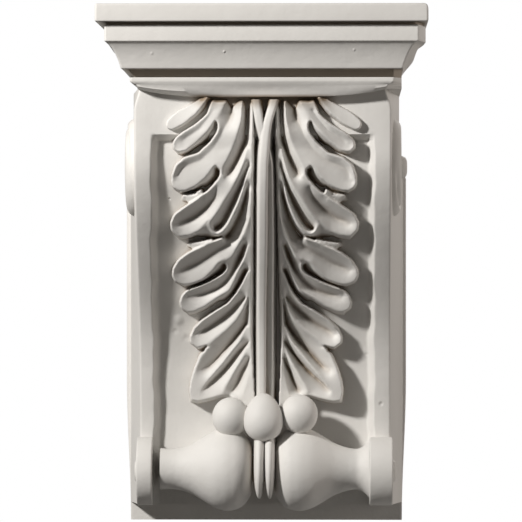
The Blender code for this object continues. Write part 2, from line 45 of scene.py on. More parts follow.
# Back plate
PLATE_HALF_WIDTH = 98.9
PLATE_FOOT_INSET = 3.0
PLATE_FOOT_TAPER = 100.0
PLATE_THICKNESS = 8.0
PLATE_TOP = 241.0
PLATE_SHOULDER = 6.0

# Console body
BODY_HALF_WIDTH = 87.3
WALL_FOOT_SPREAD_TOP = 6.7
WALL_FOOT_SPREAD = 8.7
BODY_FRONT = 129.0
RECEDE = 76.5
LOWER_RECEDE = 6.0
SWELL_BELOW_CAP = 36.0
WAIST_ABOVE_SCROLL = 45.0
LOWER_SWEEP_ABOVE_SCROLL = 63.0
LOWER_SWEEP = 54.0
SHOULDER_HEIGHT = 9.0
SHOULDER_INSET = 4.0
CONSOLE_CORNERS = (0, 1.2, 2.0, 1.6, 1.2, 1.5, 0)
HIDDEN_BACK_RECESS = 0.6
BORDER_WIDTH = 11.3
PANEL_DEPTH = 8.5
PANEL_SLOPE = 4.0
PANEL_BELOW_CAP = 25.0
RIM_WAVE = 0.35
LEFT_RIM_FLARE = 1.8
LEFT_RIM_FLARE_TOP = 230.0
LEFT_RIM_FLARE_START = 40.0
LEFT_RIM_FLARE_END = 85.0
# Painted shade on the middle of the plate's foot, under the rolls: strength, top and half width
FOOT_PAINTED_SHADE = 0.6
FOOT_SHADE_TOP = 24.0
FOOT_SHADE_HALF_WIDTH = 66.0

# Cap
TOP_FASCIA = 12.0
SECOND_FASCIA = 13.0
COVE = 18.0
REVEAL = 5.7
FILLET = 2.7
BED = 10.4
BED_END_LIFT = 5.4
TOP_REACH = 24.6
SECOND_REACH = 18.5
COVE_REACH = 8.0
REVEAL_REACH = -3.0
FILLET_REACH = 2.2
BED_REACH = -2.8
COVE_HOLLOW = 0.55
RETURN_DEPTH = (110.0, 130.0)
SECOND_FLARE = 2.5
SECOND_RIGHT_FLARE = 4.8
COVE_FLARE = 1.5
COVE_RIGHT_BULGE = 4.2
BED_FLARE = 0.5
BED_RIGHT_REAR_REACH = 7.0
BED_LEFT_SETBACK = 5.5
BED_END_FULLNESS = 3.6
BED_UNDERSIDE = 14.0
REVEAL_LEFT_REACH = (2.0, 6.6)
REVEAL_RIGHT_REACH = 5.4
REVEAL_WIDER_FROM = 50.0
REVEAL_WIDER_OVER = 30.0
CAP_FORWARD = 11.4
CAP_CORNER = 1.4
TOP_CORNER = 3.0
TOP_FACE = 12.0
QUIRK_HEIGHT = 2.2
QUIRK_DEPTH = 2.0
# Painted shade in the cap's reveal and in the quirk under the top fascia
CAP_GROOVE_PAINTED_SHADE = 0.8

# Lower scroll
SCROLL_RADIUS = 23.8
SCROLL_CENTRE_Z = 36.6
SCROLL_FORWARD = 50.0
DISK_WIDTH = 11.0
DISK_OVERHANG = 1.8
ROLL_RADIUS = 29.3
NECK_RADIUS = 14.0
ROLL_HALF_LENGTH = 72.8
ROLL_STATIONS = (0.0, 0.02, 0.07, 0.16, 0.28, 0.40, 0.52, 0.64, 0.78, 0.88, 0.95, 1.0)
ROLL_SWELL = (0.0, 0.3, 0.66, 0.93, 1.0, 0.88, 0.58, 0.25, 0.04, 0.0, 0.0, 0.0)
MOUTH_FLARE = (0.5, 6.0)
MOUTH_FLARE_START = 0.85
ROLL_RISE = 1.6
ROLL_FORWARD = 3.0
TIE_HALF_WIDTH = 8.8
TIE_CORE_RADIUS = 9.0
TIE_CORE_OVERLAP = 1.3
TIE_RIGHT_SHIFT = 2.8
DROP_RADIUS = 3.4
DROP_FULLNESS = 1.1
DROP_LENGTH = 46.0
DROP_SHARE_ABOVE_ROLL = 0.57
DROP_THICKNESS = 3.2
DROP_SUNK_SHARE = 0.6
DROP_SPACING = 7.2

# Berries
BERRY_RADIUS = 12.9
BERRY_SPACING = 24.8
BERRY_FORWARD_OF_SCROLL = 12.5
BERRY_ABOVE_SCROLL = 38.2
BERRY_SHIFT = -0.8
RIGHT_BERRY_LIFT = 2.0
MIDDLE_BERRY_HALF_WIDTH = 13.7
MIDDLE_BERRY_HALF_HEIGHT = 16.8
MIDDLE_BERRY_FORWARD = 6.0
MIDDLE_BERRY_EGG = 0.18
BERRY_FULLNESS = 1.06
LEFT_BERRY_INWARD = 2.0

# Stem: two strands that cross below the fork, the one from the right over the other
STRAND_LEVELS = (74.0, 90.0, 150.0, 200.0, 225.0, 250.0, 262.0, 275.0, 284.0, 293.0)
STRAND_MIDDLES = (
    (-2.4, -2.4, -1.8, -0.4, 0.0, 0.6, 1.4, 3.0, 5.6, 8.6),
    (2.9, 2.7, 3.4, 4.8, 5.0, 4.8, 1.7, -1.5, -3.0, -4.6),
)
STRAND_RADII = (
    (2.7, 2.7, 2.8, 3.2, 3.2, 3.2, 3.2, 3.0, 2.9, 2.9),
    (2.9, 2.9, 2.7, 2.4, 2.2, 2.2, 2.6, 2.8, 2.8, 2.8),
)
STRAND_STAND_OFFS = (
    (19.5, 19.5, 19.5, 19.5, 19.5, 19.5, 20.0, 20.5, 20.5, 20.0),
    (15.0, 15.0, 15.0, 15.0, 15.0, 15.5, 17.0, 20.0, 20.5, 20.0),
)
STRAND_BLUNTNESS = 3.2
STRAND_TILT = 0.15
STRAND_DRAFT = 6.0
STRAND_SMOOTHING = 12
STEM_SIDES = (-12.0, 14.0)
# Painted shade on the right strand at the foot, in the left strand's shadow, and in the top's hollows under
# the cap
STEM_PAINTED_SHADE = 0.8
STEM_FOOT_SHADE_BELOW = 112.0
STEM_TOP_SHADE_FROM = 282.0

# Blemishes of the cast: x, height above the underside, radius, and rise or, below zero, depth
BLEMISHES = (
    (-63.9, 225.7, 1.2, -1.0), (-25.2, 324.1, 1.3, 0.4), (62.2, 325.2, 1.4, 0.25),
    (-74.0, 323.0, 1.6, 0.2), (81.0, 83.4, 2.2, -0.6), (-60.1, 142.0, 5.0, 0.7),
    (-54.5, 129.4, 3.6, -0.35), (-62.5, 134.0, 3.0, -0.35), (-47.0, 180.0, 1.6, 0.2),
    (52.0, 18.0, 2.0, 0.3), (71.0, 118.0, 2.0, -0.25),
)

# Leaves
LEAF_CLEARANCE = 1.5
RIGHT_LEAF_STRETCH = 1.03
RIGHT_MARGIN_SHIFT = 2.6
RIGHT_MARGIN_WITHIN = 22.0
BURY = 3.0
LEAF_STEP = 0.5
STEM_STEP = 0.4
LEAF_INNER = 3.0
LEAF_OUTER = 72.0
LEAF_FOOT = 72.0
LEAF_TOP_OVERLAP = 1.4
RIM_DRAFT = 1.2
SLOT_SHARE = 0.45
UNDERSIDE_DRAFT = 3.6
CREASE_END_POINTS = 12
CREASE_END_BLEND = 12.0
TOP_SUNK_BEYOND = 42.0
TOP_LIFT = 3.0
TOP_LIFT_FROM = 258.0
END_LIFT = (1.0, 4.0)
END_LIFT_BELOW = 132.0
KNUCKLE = 290.0
KNUCKLE_OUTER_RISE = 4.5
KNUCKLE_FALL = 10.0
LEAF_RELIEF = 1.1
RIGHT_LEAF_DEEPER = 2.5
DEEPER_BELOW = 165.0
# Painted shade on the leaves' low parts near the top and on their edge under the cap: where each begins
LEAF_SHADE_FROM = 276.0
LEAF_EDGE_SHADE_FROM = 289.0
# Painted shade in the relief's hollows: the depth below the local mean that is fully dark, and the mean's
# reach in cells
CAVITY_SHADE_DEPTH = 5.0
CAVITY_SHADE_REACH = 7

# Side volutes
VOLUTE_RADIUS = 34.0
VOLUTE_BELOW_CAP = 46.5
VOLUTE_BEHIND_FACE = 44.0
VOLUTE_REACH = 7.2
EYE_RADIUS = 8.0
EYE_REACH = (8.2, 11.4)
LOWER_EYE_RADIUS = 7.0
LOWER_EYE_REACH = 4.6
GROOVE_TURNS = 1.6
GROOVE_HALF_WIDTH = 2.6
GROOVE_DEPTH = 2.2

# Finish: widths of the patterns, and a band of painted shade under the cap, near the leaves' tops.
# Each of its limits, and the distance forward that marks off the front, is a pair: where it is none
# and where it is full.
CLOUD_WIDTH = 35.7
GRAIN_WIDTH = 2.38
SWELL_WIDTH = 9.09
WAVE_WIDTH = 62.5
SHADE_BAND_BOTTOM = (284.0, 292.0)
SHADE_BAND_TOP = (296.5, 294.5)
SHADE_BAND_HALF_WIDTH = (52.0, 40.0)
SHADE_BAND_STRENGTH = 1.3
FRONT_MASK = (20.0, 30.0)

# Studio, in metres
FLOOR_LEVEL = -0.450
FLOOR_HALF_WIDTH = 1.5
FLOOR_BACK = 1.2
LIGHT_AIM = (0.0, -0.08, 0.0)
CAMERA_PLACE = (0.0609, -2.9, 0.0052)
CAMERA_AIM = (-0.0045, 0.0, 0.0052)
LENS = 281.7
SHIFT_PIXELS = 0.8
PICTURE_WIDTH = 522

# Levels that follow
CAP_BOTTOM = HEIGHT - TOP_FASCIA - SECOND_FASCIA - COVE - REVEAL - FILLET - BED
SWELL_Z = CAP_BOTTOM - SWELL_BELOW_CAP
SCROLL_TOP = SCROLL_CENTRE_Z + SCROLL_RADIUS
SCROLL_BOTTOM = SCROLL_CENTRE_Z - SCROLL_RADIUS
WAIST_Z = SCROLL_TOP + WAIST_ABOVE_SCROLL
LOWER_SWEEP_Z = SCROLL_TOP + LOWER_SWEEP_ABOVE_SCROLL
PANEL_TOP = CAP_BOTTOM - PANEL_BELOW_CAP
PANEL_RIM_X = BODY_HALF_WIDTH - BORDER_WIDTH
CAP_FRONT = BODY_FRONT + CAP_FORWARD
ROLL_Z = SCROLL_CENTRE_Z + ROLL_RISE
ROLL_FRONT = SCROLL_FORWARD + ROLL_FORWARD
BERRY_Z = SCROLL_CENTRE_Z + BERRY_ABOVE_SCROLL
LEAF_TOP = CAP_BOTTOM - LEAF_CLEARANCE

# One half leaf beside the stem, drawn by lines of (distance from the stem's middle, height above
# the underside) in millimetres. Each has its heights over the panel, spread evenly along it.
# Rims run from the root to the tip and round it, with the height of the slot at their root and
# their width. Undersides run from the tip back, with the share that stands free over the panel.
# Ridges and creases have a width and no wall of their own.
RIMS = {
    "first": ((10.5, 9.0, 9.5), -3.0, 1.0,
              ((40, 294.5), (47.5, 289.5), (57, 284.5), (63, 279.5), (65, 276), (64, 273.5), (61.5, 272.5))),
    "second": ((13, 12, 10.5), 2.0, 1.2,
               ((34, 291), (37, 282.5), (45, 275.5), (53.5, 270.5), (58.5, 266.5), (60.4, 262.5),
                (60.2, 260), (57.5, 257.8))),
    "third": ((12.5, 12.5, 12, 11), 1.0, 1.2,
              ((32, 279), (30, 277.5), (29.3, 273.7), (30.7, 269.8), (35, 263.5), (43.5, 256), (53, 253),
               (58.5, 248.5), (61, 242), (61.5, 236), (60, 233), (56.5, 231.2))),
    "fourth": ((12.5, 12.5, 12, 11), 1.0, 1.2,
               ((30.5, 247.4), (28.5, 246.4), (27.8, 244), (28.2, 241.5), (30.2, 238), (36.5, 231),
                (45, 225), (53, 220), (60, 215), (62.6, 209.5), (62.3, 204.5), (58, 200.5))),
    "fourth_flap": ((8, 8, 7.5), 2.0, 1.2, ((45, 229.6), (49, 228.6), (54.5, 227.4))),
    "fifth_flap": ((11, 9, 7.5), 2.0, 1.2, ((35, 197.4), (42, 196.4), (50.5, 195))),
    "fifth": ((12, 11.5, 11), 0.0, 1.2,
              ((28, 198.5), (35.5, 196), (42, 193), (51, 189), (58, 184), (62.2, 177.5), (62.6, 172.5),
               (60.8, 169.3), (56.5, 167.4))),
    "sixth": ((10.5, 10, 9.5), 1.0, 0.8,
              ((26.5, 182.2), (24.6, 180), (25.5, 177), (29, 173.5), (36, 169.5), (44, 166), (52.5, 163),
               (56.5, 159.5), (58.3, 154.5), (57.4, 150.5), (53.5, 148.2))),
    "seventh": ((11, 11, 10), 0.0, 1.0,
                ((10.5, 176), (14.5, 168), (19.5, 160), (25, 153.5), (34.5, 147.6), (43, 142),
                 (48.5, 136.5), (51.5, 130.5), (51.5, 126.5), (47, 123.5))),
    "end": ((10, 10.5, 10), 1.0, 1.6,
            ((39.6, 122.6), (44.6, 117), (48.4, 108.2), (50.9, 99.9), (51.9, 92.4), (50.8, 86.5))),
}
UNDERSIDES = {
    "first": ((9.5, 11, 13), 0.4, ((61.5, 272.5), (53.5, 276.5), (45, 283.5), (37, 293.5))),
    "second": ((10.5, 11.5, 12.5, 14), 0.3,
               ((57.5, 257.8), (52, 258.6), (45, 264), (36.5, 272.5), (32, 279), (29, 284),
                (26.5, 288.5), (25, 292))),
    "third": ((11, 11.5, 12.5), 0.4,
              ((56.5, 231.2), (51.5, 231.8), (45, 235), (38.5, 241), (34, 247), (31, 249.4), (27.5, 248.5))),
    "fourth": ((11, 11.5, 12), 0.5, ((58, 200.5), (51, 201), (44, 204), (37.5, 210.5))),
    "fifth": ((11, 11.5, 11.5), 0.4,
              ((56.5, 167.4), (50, 167.8), (41.5, 171), (35, 177.5), (31, 182.5), (26, 184.2))),
    "sixth": ((9.5, 10.5, 11), 0.7, ((53.5, 148.2), (49, 148.6), (41.5, 152), (32, 158.5), (24, 163))),
    "seventh": ((10, 10.5, 11.5), 0.08,
                ((47, 123.5), (39.5, 125.2), (35.8, 128.3), (27.1, 135.2), (19.7, 142.7), (14.6, 150.8),
                 (12.2, 156.5), (10.5, 165))),
    "end": ((10, 10, 10.5), 1.0,
            ((50.8, 86.5), (45.8, 86), (37.6, 87.9), (29.4, 90.5), (23.5, 88.5), (15.5, 83), (8, 81))),
}
RIDGES = {
    "fourth_flap": ((11.5, 9.5, 8), 5.0, ((41, 229.6), (46.5, 226.6), (51.5, 224.6))),
    "fifth_flap": ((11.5, 9.5, 8), 3.6, ((38, 195.6), (44, 194), (49, 192.6))),
    "third_root": ((14.5, 14, 13, 12.5, 12.5), 1.2,
                   ((13.5, 291.5), (14.5, 278.5), (18, 267), (23, 255.5), (27.4, 247.5), (28, 243),
                    (26.5, 240.5))),
    "fourth_root": ((12, 13.5, 13.5, 12.5), 1.2,
                    ((10.5, 259), (13, 250), (17, 240.3), (21.8, 231.5), (27.3, 223.1), (32.2, 215.3),
                     (37, 209.5))),
    "fold": ((11.5, 12, 12, 12), 1.6,
             ((8.5, 246), (10.5, 241), (12.4, 235.4), (14, 229.5), (16.2, 223.1), (20, 215.3),
              (23.6, 208.4), (27.3, 203.6), (31.2, 201.3))),
    "fold_end": ((12, 12, 12.5), 1.2, ((31.2, 201.3), (33.4, 202.3), (35.3, 205), (37, 209.5))),
    "fifth_root": ((12, 12.5), 1.0,
                   ((26, 184.2), (23.5, 185), (21, 187.5), (17, 195), (12.5, 203), (9, 212), (8, 217))),
    "sixth_root": ((11, 11.5), 1.0, ((24, 163), (21, 169), (17, 177.5), (12.5, 186), (10, 193.5))),
    "end_first": ((10, 10.5, 10.5, 10), 0.8,
                  ((12.5, 137.6), (17.4, 127.9), (22.5, 121.4), (28.8, 113.2), (35.8, 105), (41.5, 98.1),
                   (47, 89.2))),
    "end_second": ((10, 10.5, 10.5, 10.5), 0.8,
                   ((12, 123), (16.2, 115.1), (21.2, 106.9), (25, 99.9), (28.5, 94.2), (29.4, 90.5))),
    "end_third": ((10, 10.5, 10), 0.8,
                  ((8.9, 115.7), (9.8, 110.6), (11.1, 103.1), (13, 96.1), (15.3, 87.9), (16, 83))),
    "margin": ((12.5, 12, 11.5, 11, 11), 1.6,
               ((7, 292), (7, 265), (8, 225), (8.5, 195), (9.5, 160), (10, 140), (9.5, 120),
                (8.5, 100), (7.5, 82))),
}
CREASES = {
    "second": ((12.5, 11.3, 10, 9.5), 0, ((33, 285.5), (42.5, 272.5), (52, 266.5), (57, 262))),
    "third": ((8, 8, 10.5, 11.3, 11.3, 10.5, 9.5, 9, 9.5), 0,
              ((20.5, 291), (21.5, 280.5), (25, 275), (28.5, 267), (34, 258.5), (42, 251.5), (49, 249),
               (54, 246.5), (57.5, 242.5), (58.5, 237))),
    "third_band": ((3.5, 3.5, 3.5, 4, 4.5, 6), 0,
                   ((10.5, 291), (10.5, 278.5), (11, 266), (14.6, 257.5), (19.9, 247.5), (22.4, 243.7),
                    (24.6, 242))),
    "fourth": ((11.5, 7.5, 5.5, 5.5, 7.5), 0,
               ((31, 233.5), (33, 226), (39, 219.5), (48.5, 212.5), (58, 209))),
    "fold": ((9, 7, 5.5, 4.5, 3.5, 3.5), 0.8,
             ((9.2, 250), (9.8, 245), (12.2, 239.3), (15.6, 232), (19.2, 224.9), (23.2, 217), (27, 209.8),
              (30, 206.8), (33, 205.6))),
    "fold_foot": ((0, 1.5, 3, 4), 0,
                  ((25.5, 199.5), (20.5, 206.5), (15.5, 216), (12, 226), (9.5, 235.5))),
    "fifth": ((8, 6.5, 7, 8, 7, 6.5, 7.5), 0,
              ((11.5, 211.5), (15, 204.5), (17.5, 198.5), (23, 196), (27, 193.5), (35.5, 188),
               (46, 181.5), (58, 177))),
    "sixth": ((5, 2.5, 3.5, 6, 5.5, 5.5, 5.5, 6.5), 0,
              ((12.5, 194), (16, 185.5), (19.5, 178.5), (22.5, 174.5), (27, 168.5), (33.5, 163.5),
               (43.5, 160), (53, 159))),
    "seventh": ((7, 5, 4.5, 5, 6.5), 0,
                ((12.2, 158.9), (20.3, 151.4), (27.8, 144.6), (36.5, 138.3), (43.5, 134.3), (48, 132.2))),
    "end_first": ((6, 4, 3, 2.5, 3, 4, 6), 0,
                  ((11, 157), (11.5, 147), (13, 138.4), (18.7, 132), (26.4, 122.9), (32.2, 116.5),
                   (39.6, 108.7), (43.6, 107))),
    "end_second": ((6.5, 4.5, 4, 4.5, 6, 9), 0,
                   ((11, 127.5), (12.8, 125.2), (18.7, 119), (23.7, 112.8), (28.8, 107), (33.3, 102.6),
                    (38.9, 97.8), (45, 91.6))),
    "end_third": ((7, 5, 4.5, 5.5, 8), 0,
                  ((9.5, 118), (12.4, 111.3), (16.2, 105.8), (18.7, 99.4), (21.9, 93.7), (25.3, 88.5))),
    "stem_side": ((0, 0), 1.0,
                  ((4.5, 292), (4.5, 265), (5, 225), (6, 195), (6, 160), (7, 130), (7, 100), (6.5, 82))),
}


def ease(t):
    """Smooth step: 0 below 0, 1 above 1, level at both ends."""
    t = np.clip(t, 0.0, 1.0)
    return t * t * (3.0 - 2.0 * t)


def face_forward(z):
    """The border's face at height z: a long swing back from the swell, and a short one."""
    back = RECEDE * ease((SWELL_Z - z) / (SWELL_Z - WAIST_Z))
    return BODY_FRONT - back - LOWER_RECEDE * ease((LOWER_SWEEP_Z - z) / LOWER_SWEEP)


def panel_forward(z):
    """The sunk panel at height z, a set depth behind the border's face."""
    return face_forward(z) - PANEL_DEPTH


def wall_foot(z):
    """Half width of the side walls where they meet the back plate."""
    spread = WALL_FOOT_SPREAD_TOP - WALL_FOOT_SPREAD
    return BODY_HALF_WIDTH + WALL_FOOT_SPREAD + spread * ease((z - PLATE_TOP) / PLATE_SHOULDER)


def plate_half_width(z):
    """Half width of the back plate, which narrows at its foot and ends in a shoulder at its top."""
    foot = PLATE_FOOT_INSET * ease(1 - z / PLATE_FOOT_TAPER)
    shoulder = ease((z - PLATE_TOP) / PLATE_SHOULDER)
    return (PLATE_HALF_WIDTH - foot) * (1 - shoulder) + wall_foot(z) * shoulder


def to_world(points):
    """(x, forward, z) in millimetres to the frame's metres, measured from the middle of the back."""
    points = np.asarray(points, float)
    return (points * (1, -1, 1) - (0, 0, HEIGHT / 2)) * MM


def rounded(corners, radii, steps=4):
    """Rounds a line's corners: each is replaced by the parabola that leaves the line a radius
    before the corner and meets it again a radius behind. corners is (..., corner, value)."""
    corners = np.asarray(corners, float)
    parts = [corners[..., :1, :]]
    for i in range(1, corners.shape[-2] - 1):
        before, here, after = (corners[..., i + k, :] for k in (-1, 0, 1))
        if radii[i] == 0:
            parts.append(here[..., None, :])
            continue
        ends = []
        for other in (before, after):
            span = np.linalg.norm(other - here, axis=-1, keepdims=True)
            ends.append(here + (other - here) * np.minimum(radii[i] / np.maximum(span, 1e-9), 0.45))
        t = np.linspace(0, 1, steps + 1)[:, None]
        start, end, middle = ends[0][..., None, :], ends[1][..., None, :], here[..., None, :]
        parts.append((1 - t) ** 2 * start + 2 * t * (1 - t) * middle + t ** 2 * end)
    parts.append(corners[..., -1:, :])
    return np.concatenate(parts, axis=-2)


def tube_piece(name, rings, sharp_angle=0.9, painted_shade=None):
    """A closed piece from rings of points: (ring, point, 3), each ring joined to the next one and
    the first and last ring closed by a face. Its last argument gives each point's painted shade, 0 to 1."""
    rings = np.asarray(rings, float)
    count, size = rings.shape[:2]
    here = np.arange(size)
    after = (here + 1) % size
    start = np.arange(count - 1)[:, None] * size
    quads = np.stack([start + here, start + after, start + size + after, start + size + here], axis=-1)
    quads = quads.reshape(-1, 4)
    ends = np.stack([here[::-1], here + (count - 1) * size])
    mesh = bpy.data.meshes.new(name)
    mesh.vertices.add(count * size)
    mesh.vertices.foreach_set("co", to_world(rings).astype(np.float32).ravel())
    mesh.loops.add(quads.size + ends.size)
    mesh.loops.foreach_set("vertex_index", np.concatenate([quads.ravel(), ends.ravel()]).astype(np.int32))
    starts = np.concatenate([np.arange(len(quads)) * 4, quads.size + np.arange(2) * size])
    mesh.polygons.add(len(quads) + 2)
    mesh.polygons.foreach_set("loop_start", starts.astype(np.int32))
    mesh.update(calc_edges=True)
    mesh.validate()
    shape = bmesh.new()
    shape.from_mesh(mesh)
    bmesh.ops.recalc_face_normals(shape, faces=shape.faces)
    shape.to_mesh(mesh)
    shape.free()
    mesh.shade_smooth()
    mesh.set_sharp_from_angle(angle=sharp_angle)
    # Painted shade, written as a point attribute for the material.
    if painted_shade is not None:
        tint = mesh.attributes.new("painted_shade", "FLOAT", "POINT")
        tint.data.foreach_set("value", np.asarray(painted_shade, np.float32).ravel())
    piece = bpy.data.objects.new(name, mesh)
    bpy.context.scene.collection.objects.link(piece)
    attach(piece, "root")
    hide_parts("corbel")
    return piece


def console_piece():
    """The back plate with the console: one plan for each height, with its corners rounded. The
    panel's rim wavers by two sines of the height, the left one flares outward below a height, and
    the middle of the foot, under the rolls, carries painted shade."""
    low = np.linspace(0, WAIST_Z, 50)
    sweep = np.linspace(WAIST_Z, CAP_BOTTOM, 120)[1:]
    edge = [PANEL_TOP - PANEL_SLOPE, PANEL_TOP, PLATE_TOP, PLATE_TOP + PLATE_SHOULDER]
    foot = np.array([0.0, 0.4, 1.0, SCROLL_BOTTOM - 0.1, SCROLL_BOTTOM])
    hidden = CAP_BOTTOM + BED_END_LIFT + np.array([-3.4, 0.0, 0.1, 2.0])
    zs = np.unique(np.concatenate([low, sweep, edge, foot, hidden]))
    body = zs >= SCROLL_BOTTOM - 0.05
    half = plate_half_width(zs)
    half = half - 0.8 * np.clip(1 - zs, 0, 1) ** 2
    foot_x = wall_foot(zs)
    near_cap = SHOULDER_INSET * ease((zs - CAP_BOTTOM + SHOULDER_HEIGHT) / (2 * SHOULDER_HEIGHT))
    face = np.where(body, face_forward(zs), PLATE_THICKNESS + 0.3)
    sunk = face - np.where(body, PANEL_DEPTH * np.clip((PANEL_TOP - zs) / PANEL_SLOPE, 0, 1), 0.1)
    wall_x = np.where(body, BODY_HALF_WIDTH, foot_x - 1.0) - near_cap
    thick = np.full_like(zs, PLATE_THICKNESS)
    nothing = np.zeros_like(zs)
    # Inside the cap the back stands in a little, so that it doesn't lie in the cap's own back.
    back = HIDDEN_BACK_RECESS * (zs > hidden[1] + 0.05)
    rim = PANEL_RIM_X + RIM_WAVE * (np.sin(zs / 7.3) + 0.7 * np.sin(zs / 3.1 + 1))
    corners = [
        (half, back), (half, thick), (foot_x, thick), (wall_x, face),
        (rim, face), (rim - PANEL_SLOPE, sunk), (nothing, sunk),
    ]
    corners = np.stack([np.stack(pair, axis=-1) for pair in corners], axis=1)
    right = rounded(corners, CONSOLE_CORNERS)[:, :-1]
    plan = np.concatenate([right, right[:, ::-1] * (-1, 1)], axis=1)
    height = zs[:, None]
    aside = -plan[:, :, 0]
    flare = LEFT_RIM_FLARE * ease((LEFT_RIM_FLARE_TOP - height) / 60)
    flare = flare * ease((aside - LEFT_RIM_FLARE_START) / 20)
    plan[:, :, 0] -= flare * ease((LEFT_RIM_FLARE_END - aside) / 5)
    rings = np.concatenate([plan, np.broadcast_to(zs[:, None, None], plan.shape[:2] + (1,))], axis=-1)
    # Painted shade: the middle of the foot, under the rolls, is darkened where it lies in their shadow.
    inside = ease((FOOT_SHADE_HALF_WIDTH - np.abs(plan[:, :, 0])) / 20)
    painted_shade = FOOT_PAINTED_SHADE * ease((FOOT_SHADE_TOP - height) / 6) * inside
    return tube_piece("console", rings, painted_shade=painted_shade)


def cap_profile():
    """The cap's profile from its bed up, as rounded rows. Each point is a reach, a height, the lift
    of its ends, the flares of its left return, of its right one at the wall and near the front, and
    how far its left front is set back, or both ends stand forward where it is below zero. The bed
    rises by a sine while its reach grows towards a square, and the cove mixes a quarter circle with
    its chord."""
    z = CAP_BOTTOM
    low = BED_RIGHT_REAR_REACH

    def edge(reach, height, lift=0.0, setback=0.0):
        return (reach, height, lift, BED_FLARE, low - reach, low - reach, setback)

    outer = edge(BED_REACH, z, BED_END_LIFT, BED_LEFT_SETBACK)
    profile = [(BED_REACH - BED_UNDERSIDE, *outer[1:]), outer]
    radii = [0, 1.0]
    for share in (0.25, 0.55, 0.8):
        turn = np.sin(share * np.pi / 2)
        reach = BED_REACH + (FILLET_REACH - BED_REACH) * (0.35 * share + 0.65 * share ** 2)
        rest = 1 - share
        profile.append(edge(reach, z + BED * turn * 0.8, BED_END_LIFT * rest, -BED_END_FULLNESS * rest))
        radii.append(0)
    z += BED
    profile += [edge(FILLET_REACH, z), edge(FILLET_REACH, z + FILLET)]
    z += FILLET
    profile += [edge(REVEAL_REACH, z), edge(REVEAL_REACH, z + REVEAL)]
    radii += [0.7, 0.9, 0.6, 0.6]
    z += REVEAL
    for turn in np.linspace(0, np.pi / 2, 13):
        rise = np.sin(turn)
        out = COVE_HOLLOW * (1 - np.cos(turn)) + (1 - COVE_HOLLOW) * rise
        reach = COVE_REACH + (SECOND_REACH - COVE_REACH) * out
        left = COVE_FLARE + (SECOND_FLARE - COVE_FLARE) * rise ** 0.5
        bulge = COVE_RIGHT_BULGE * np.sin(np.pi * rise ** 1.6)
        near_front = bulge + (SECOND_RIGHT_FLARE - bulge) * rise ** 4
        profile.append((reach, z + COVE * rise, 0, left, bulge, near_front, 0))
        radii.append(0.8 if turn in (0, np.pi / 2) else 0)
    z += COVE + SECOND_FASCIA
    quirk = SECOND_REACH - QUIRK_DEPTH
    flares = (0, SECOND_FLARE, 0, SECOND_RIGHT_FLARE, 0)
    profile += [(SECOND_REACH, z - QUIRK_HEIGHT, *flares), (quirk, z - QUIRK_HEIGHT + 0.6, *flares)]
    profile += [(quirk, z, *flares), (TOP_REACH, z, 0, 0, 0, 0, 0)]
    profile += [(TOP_REACH, HEIGHT, 0, 0, 0, 0, 0), (TOP_REACH - TOP_FACE, HEIGHT, 0, 0, 0, 0, 0)]
    radii += [0.5, 0.4, 0.4, 0.9, 1.6, 0]
    return rounded(profile, radii)


def cap_piece():
    """The cap: its profile carried round its two returns and its front, with a quarter turn at each
    corner. The reveal reaches further to both sides than the profile says, the top's right corner
    falls in a quarter circle, and the reveal and the quirk carry painted shade."""
    line = cap_profile()
    reach, height, lift, left, rear, near, setback = (line[:, k:k + 1] for k in range(7))
    half = BODY_HALF_WIDTH + reach
    front = CAP_FRONT + reach
    side = np.array([0.0, 0.07, 0.35, 0.75, 1.0])
    across = np.linspace(-1, 1, 61)
    turn = np.linspace(0, np.pi / 2, 5)
    inner = half - CAP_CORNER
    ends = front - CAP_CORNER + CAP_CORNER * np.sin(turn)
    flare = rear + (near - rear) * ease((side - 0.07) / 0.93)
    right_x = [half + flare, inner + CAP_CORNER * np.cos(turn), inner * across[::-1]]
    left_x = [-inner - CAP_CORNER * np.cos(turn[::-1]), -half - left * (1 - side[::-1])]
    xs = np.concatenate([*right_x, *left_x], axis=1)
    forward = [side * RETURN_DEPTH[1] + 0 * reach, ends, front + 0 * across, ends[:, ::-1]]
    forward.append(side[::-1] * RETURN_DEPTH[0] + 0 * reach)
    fs = np.concatenate(forward, axis=1)
    front_part = fs > RETURN_DEPTH[1] - 20
    fs = fs - setback * ease(np.where(setback < 0, np.abs(xs), -xs) / half) * front_part
    up = (height - CAP_BOTTOM - BED - FILLET) / REVEAL
    wider = REVEAL_LEFT_REACH[0] + (REVEAL_LEFT_REACH[1] - REVEAL_LEFT_REACH[0]) * up
    wider = wider * (reach < REVEAL_REACH + 1.5) * (up > -0.05) * (up < 1.05)
    at_front = (wider > 0) * (fs > RETURN_DEPTH[1] + 0.1)
    to_left, to_right = (ease((away - REVEAL_WIDER_FROM) / REVEAL_WIDER_OVER) for away in (-xs, xs))
    xs = xs - wider * to_left + at_front * REVEAL_RIGHT_REACH * to_right
    zs = height + lift * (np.abs(xs) / half).clip(0, 1) ** 4
    beyond = np.clip((xs - (BODY_HALF_WIDTH + TOP_REACH - TOP_CORNER)) / TOP_CORNER, 0, 1)
    zs = zs - TOP_CORNER * (1 - np.sqrt(1 - beyond ** 2)) * (height > HEIGHT - 3)
    # Painted shade: the reveal and the quirk are darkened, as they lie in the shadow of the mouldings above.
    tint = CAP_GROOVE_PAINTED_SHADE * (reach < (REVEAL_REACH + 2.5)) * (height > CAP_BOTTOM + BED + FILLET)
    quirk_rows = (np.abs(height - HEIGHT + TOP_FASCIA) < QUIRK_HEIGHT) * (reach < SECOND_REACH - 0.3)
    tint = np.maximum(tint, CAP_GROOVE_PAINTED_SHADE * quirk_rows)
    return tube_piece("cap", np.stack([xs, fs, zs], axis=-1), painted_shade=tint * (fs > 1))


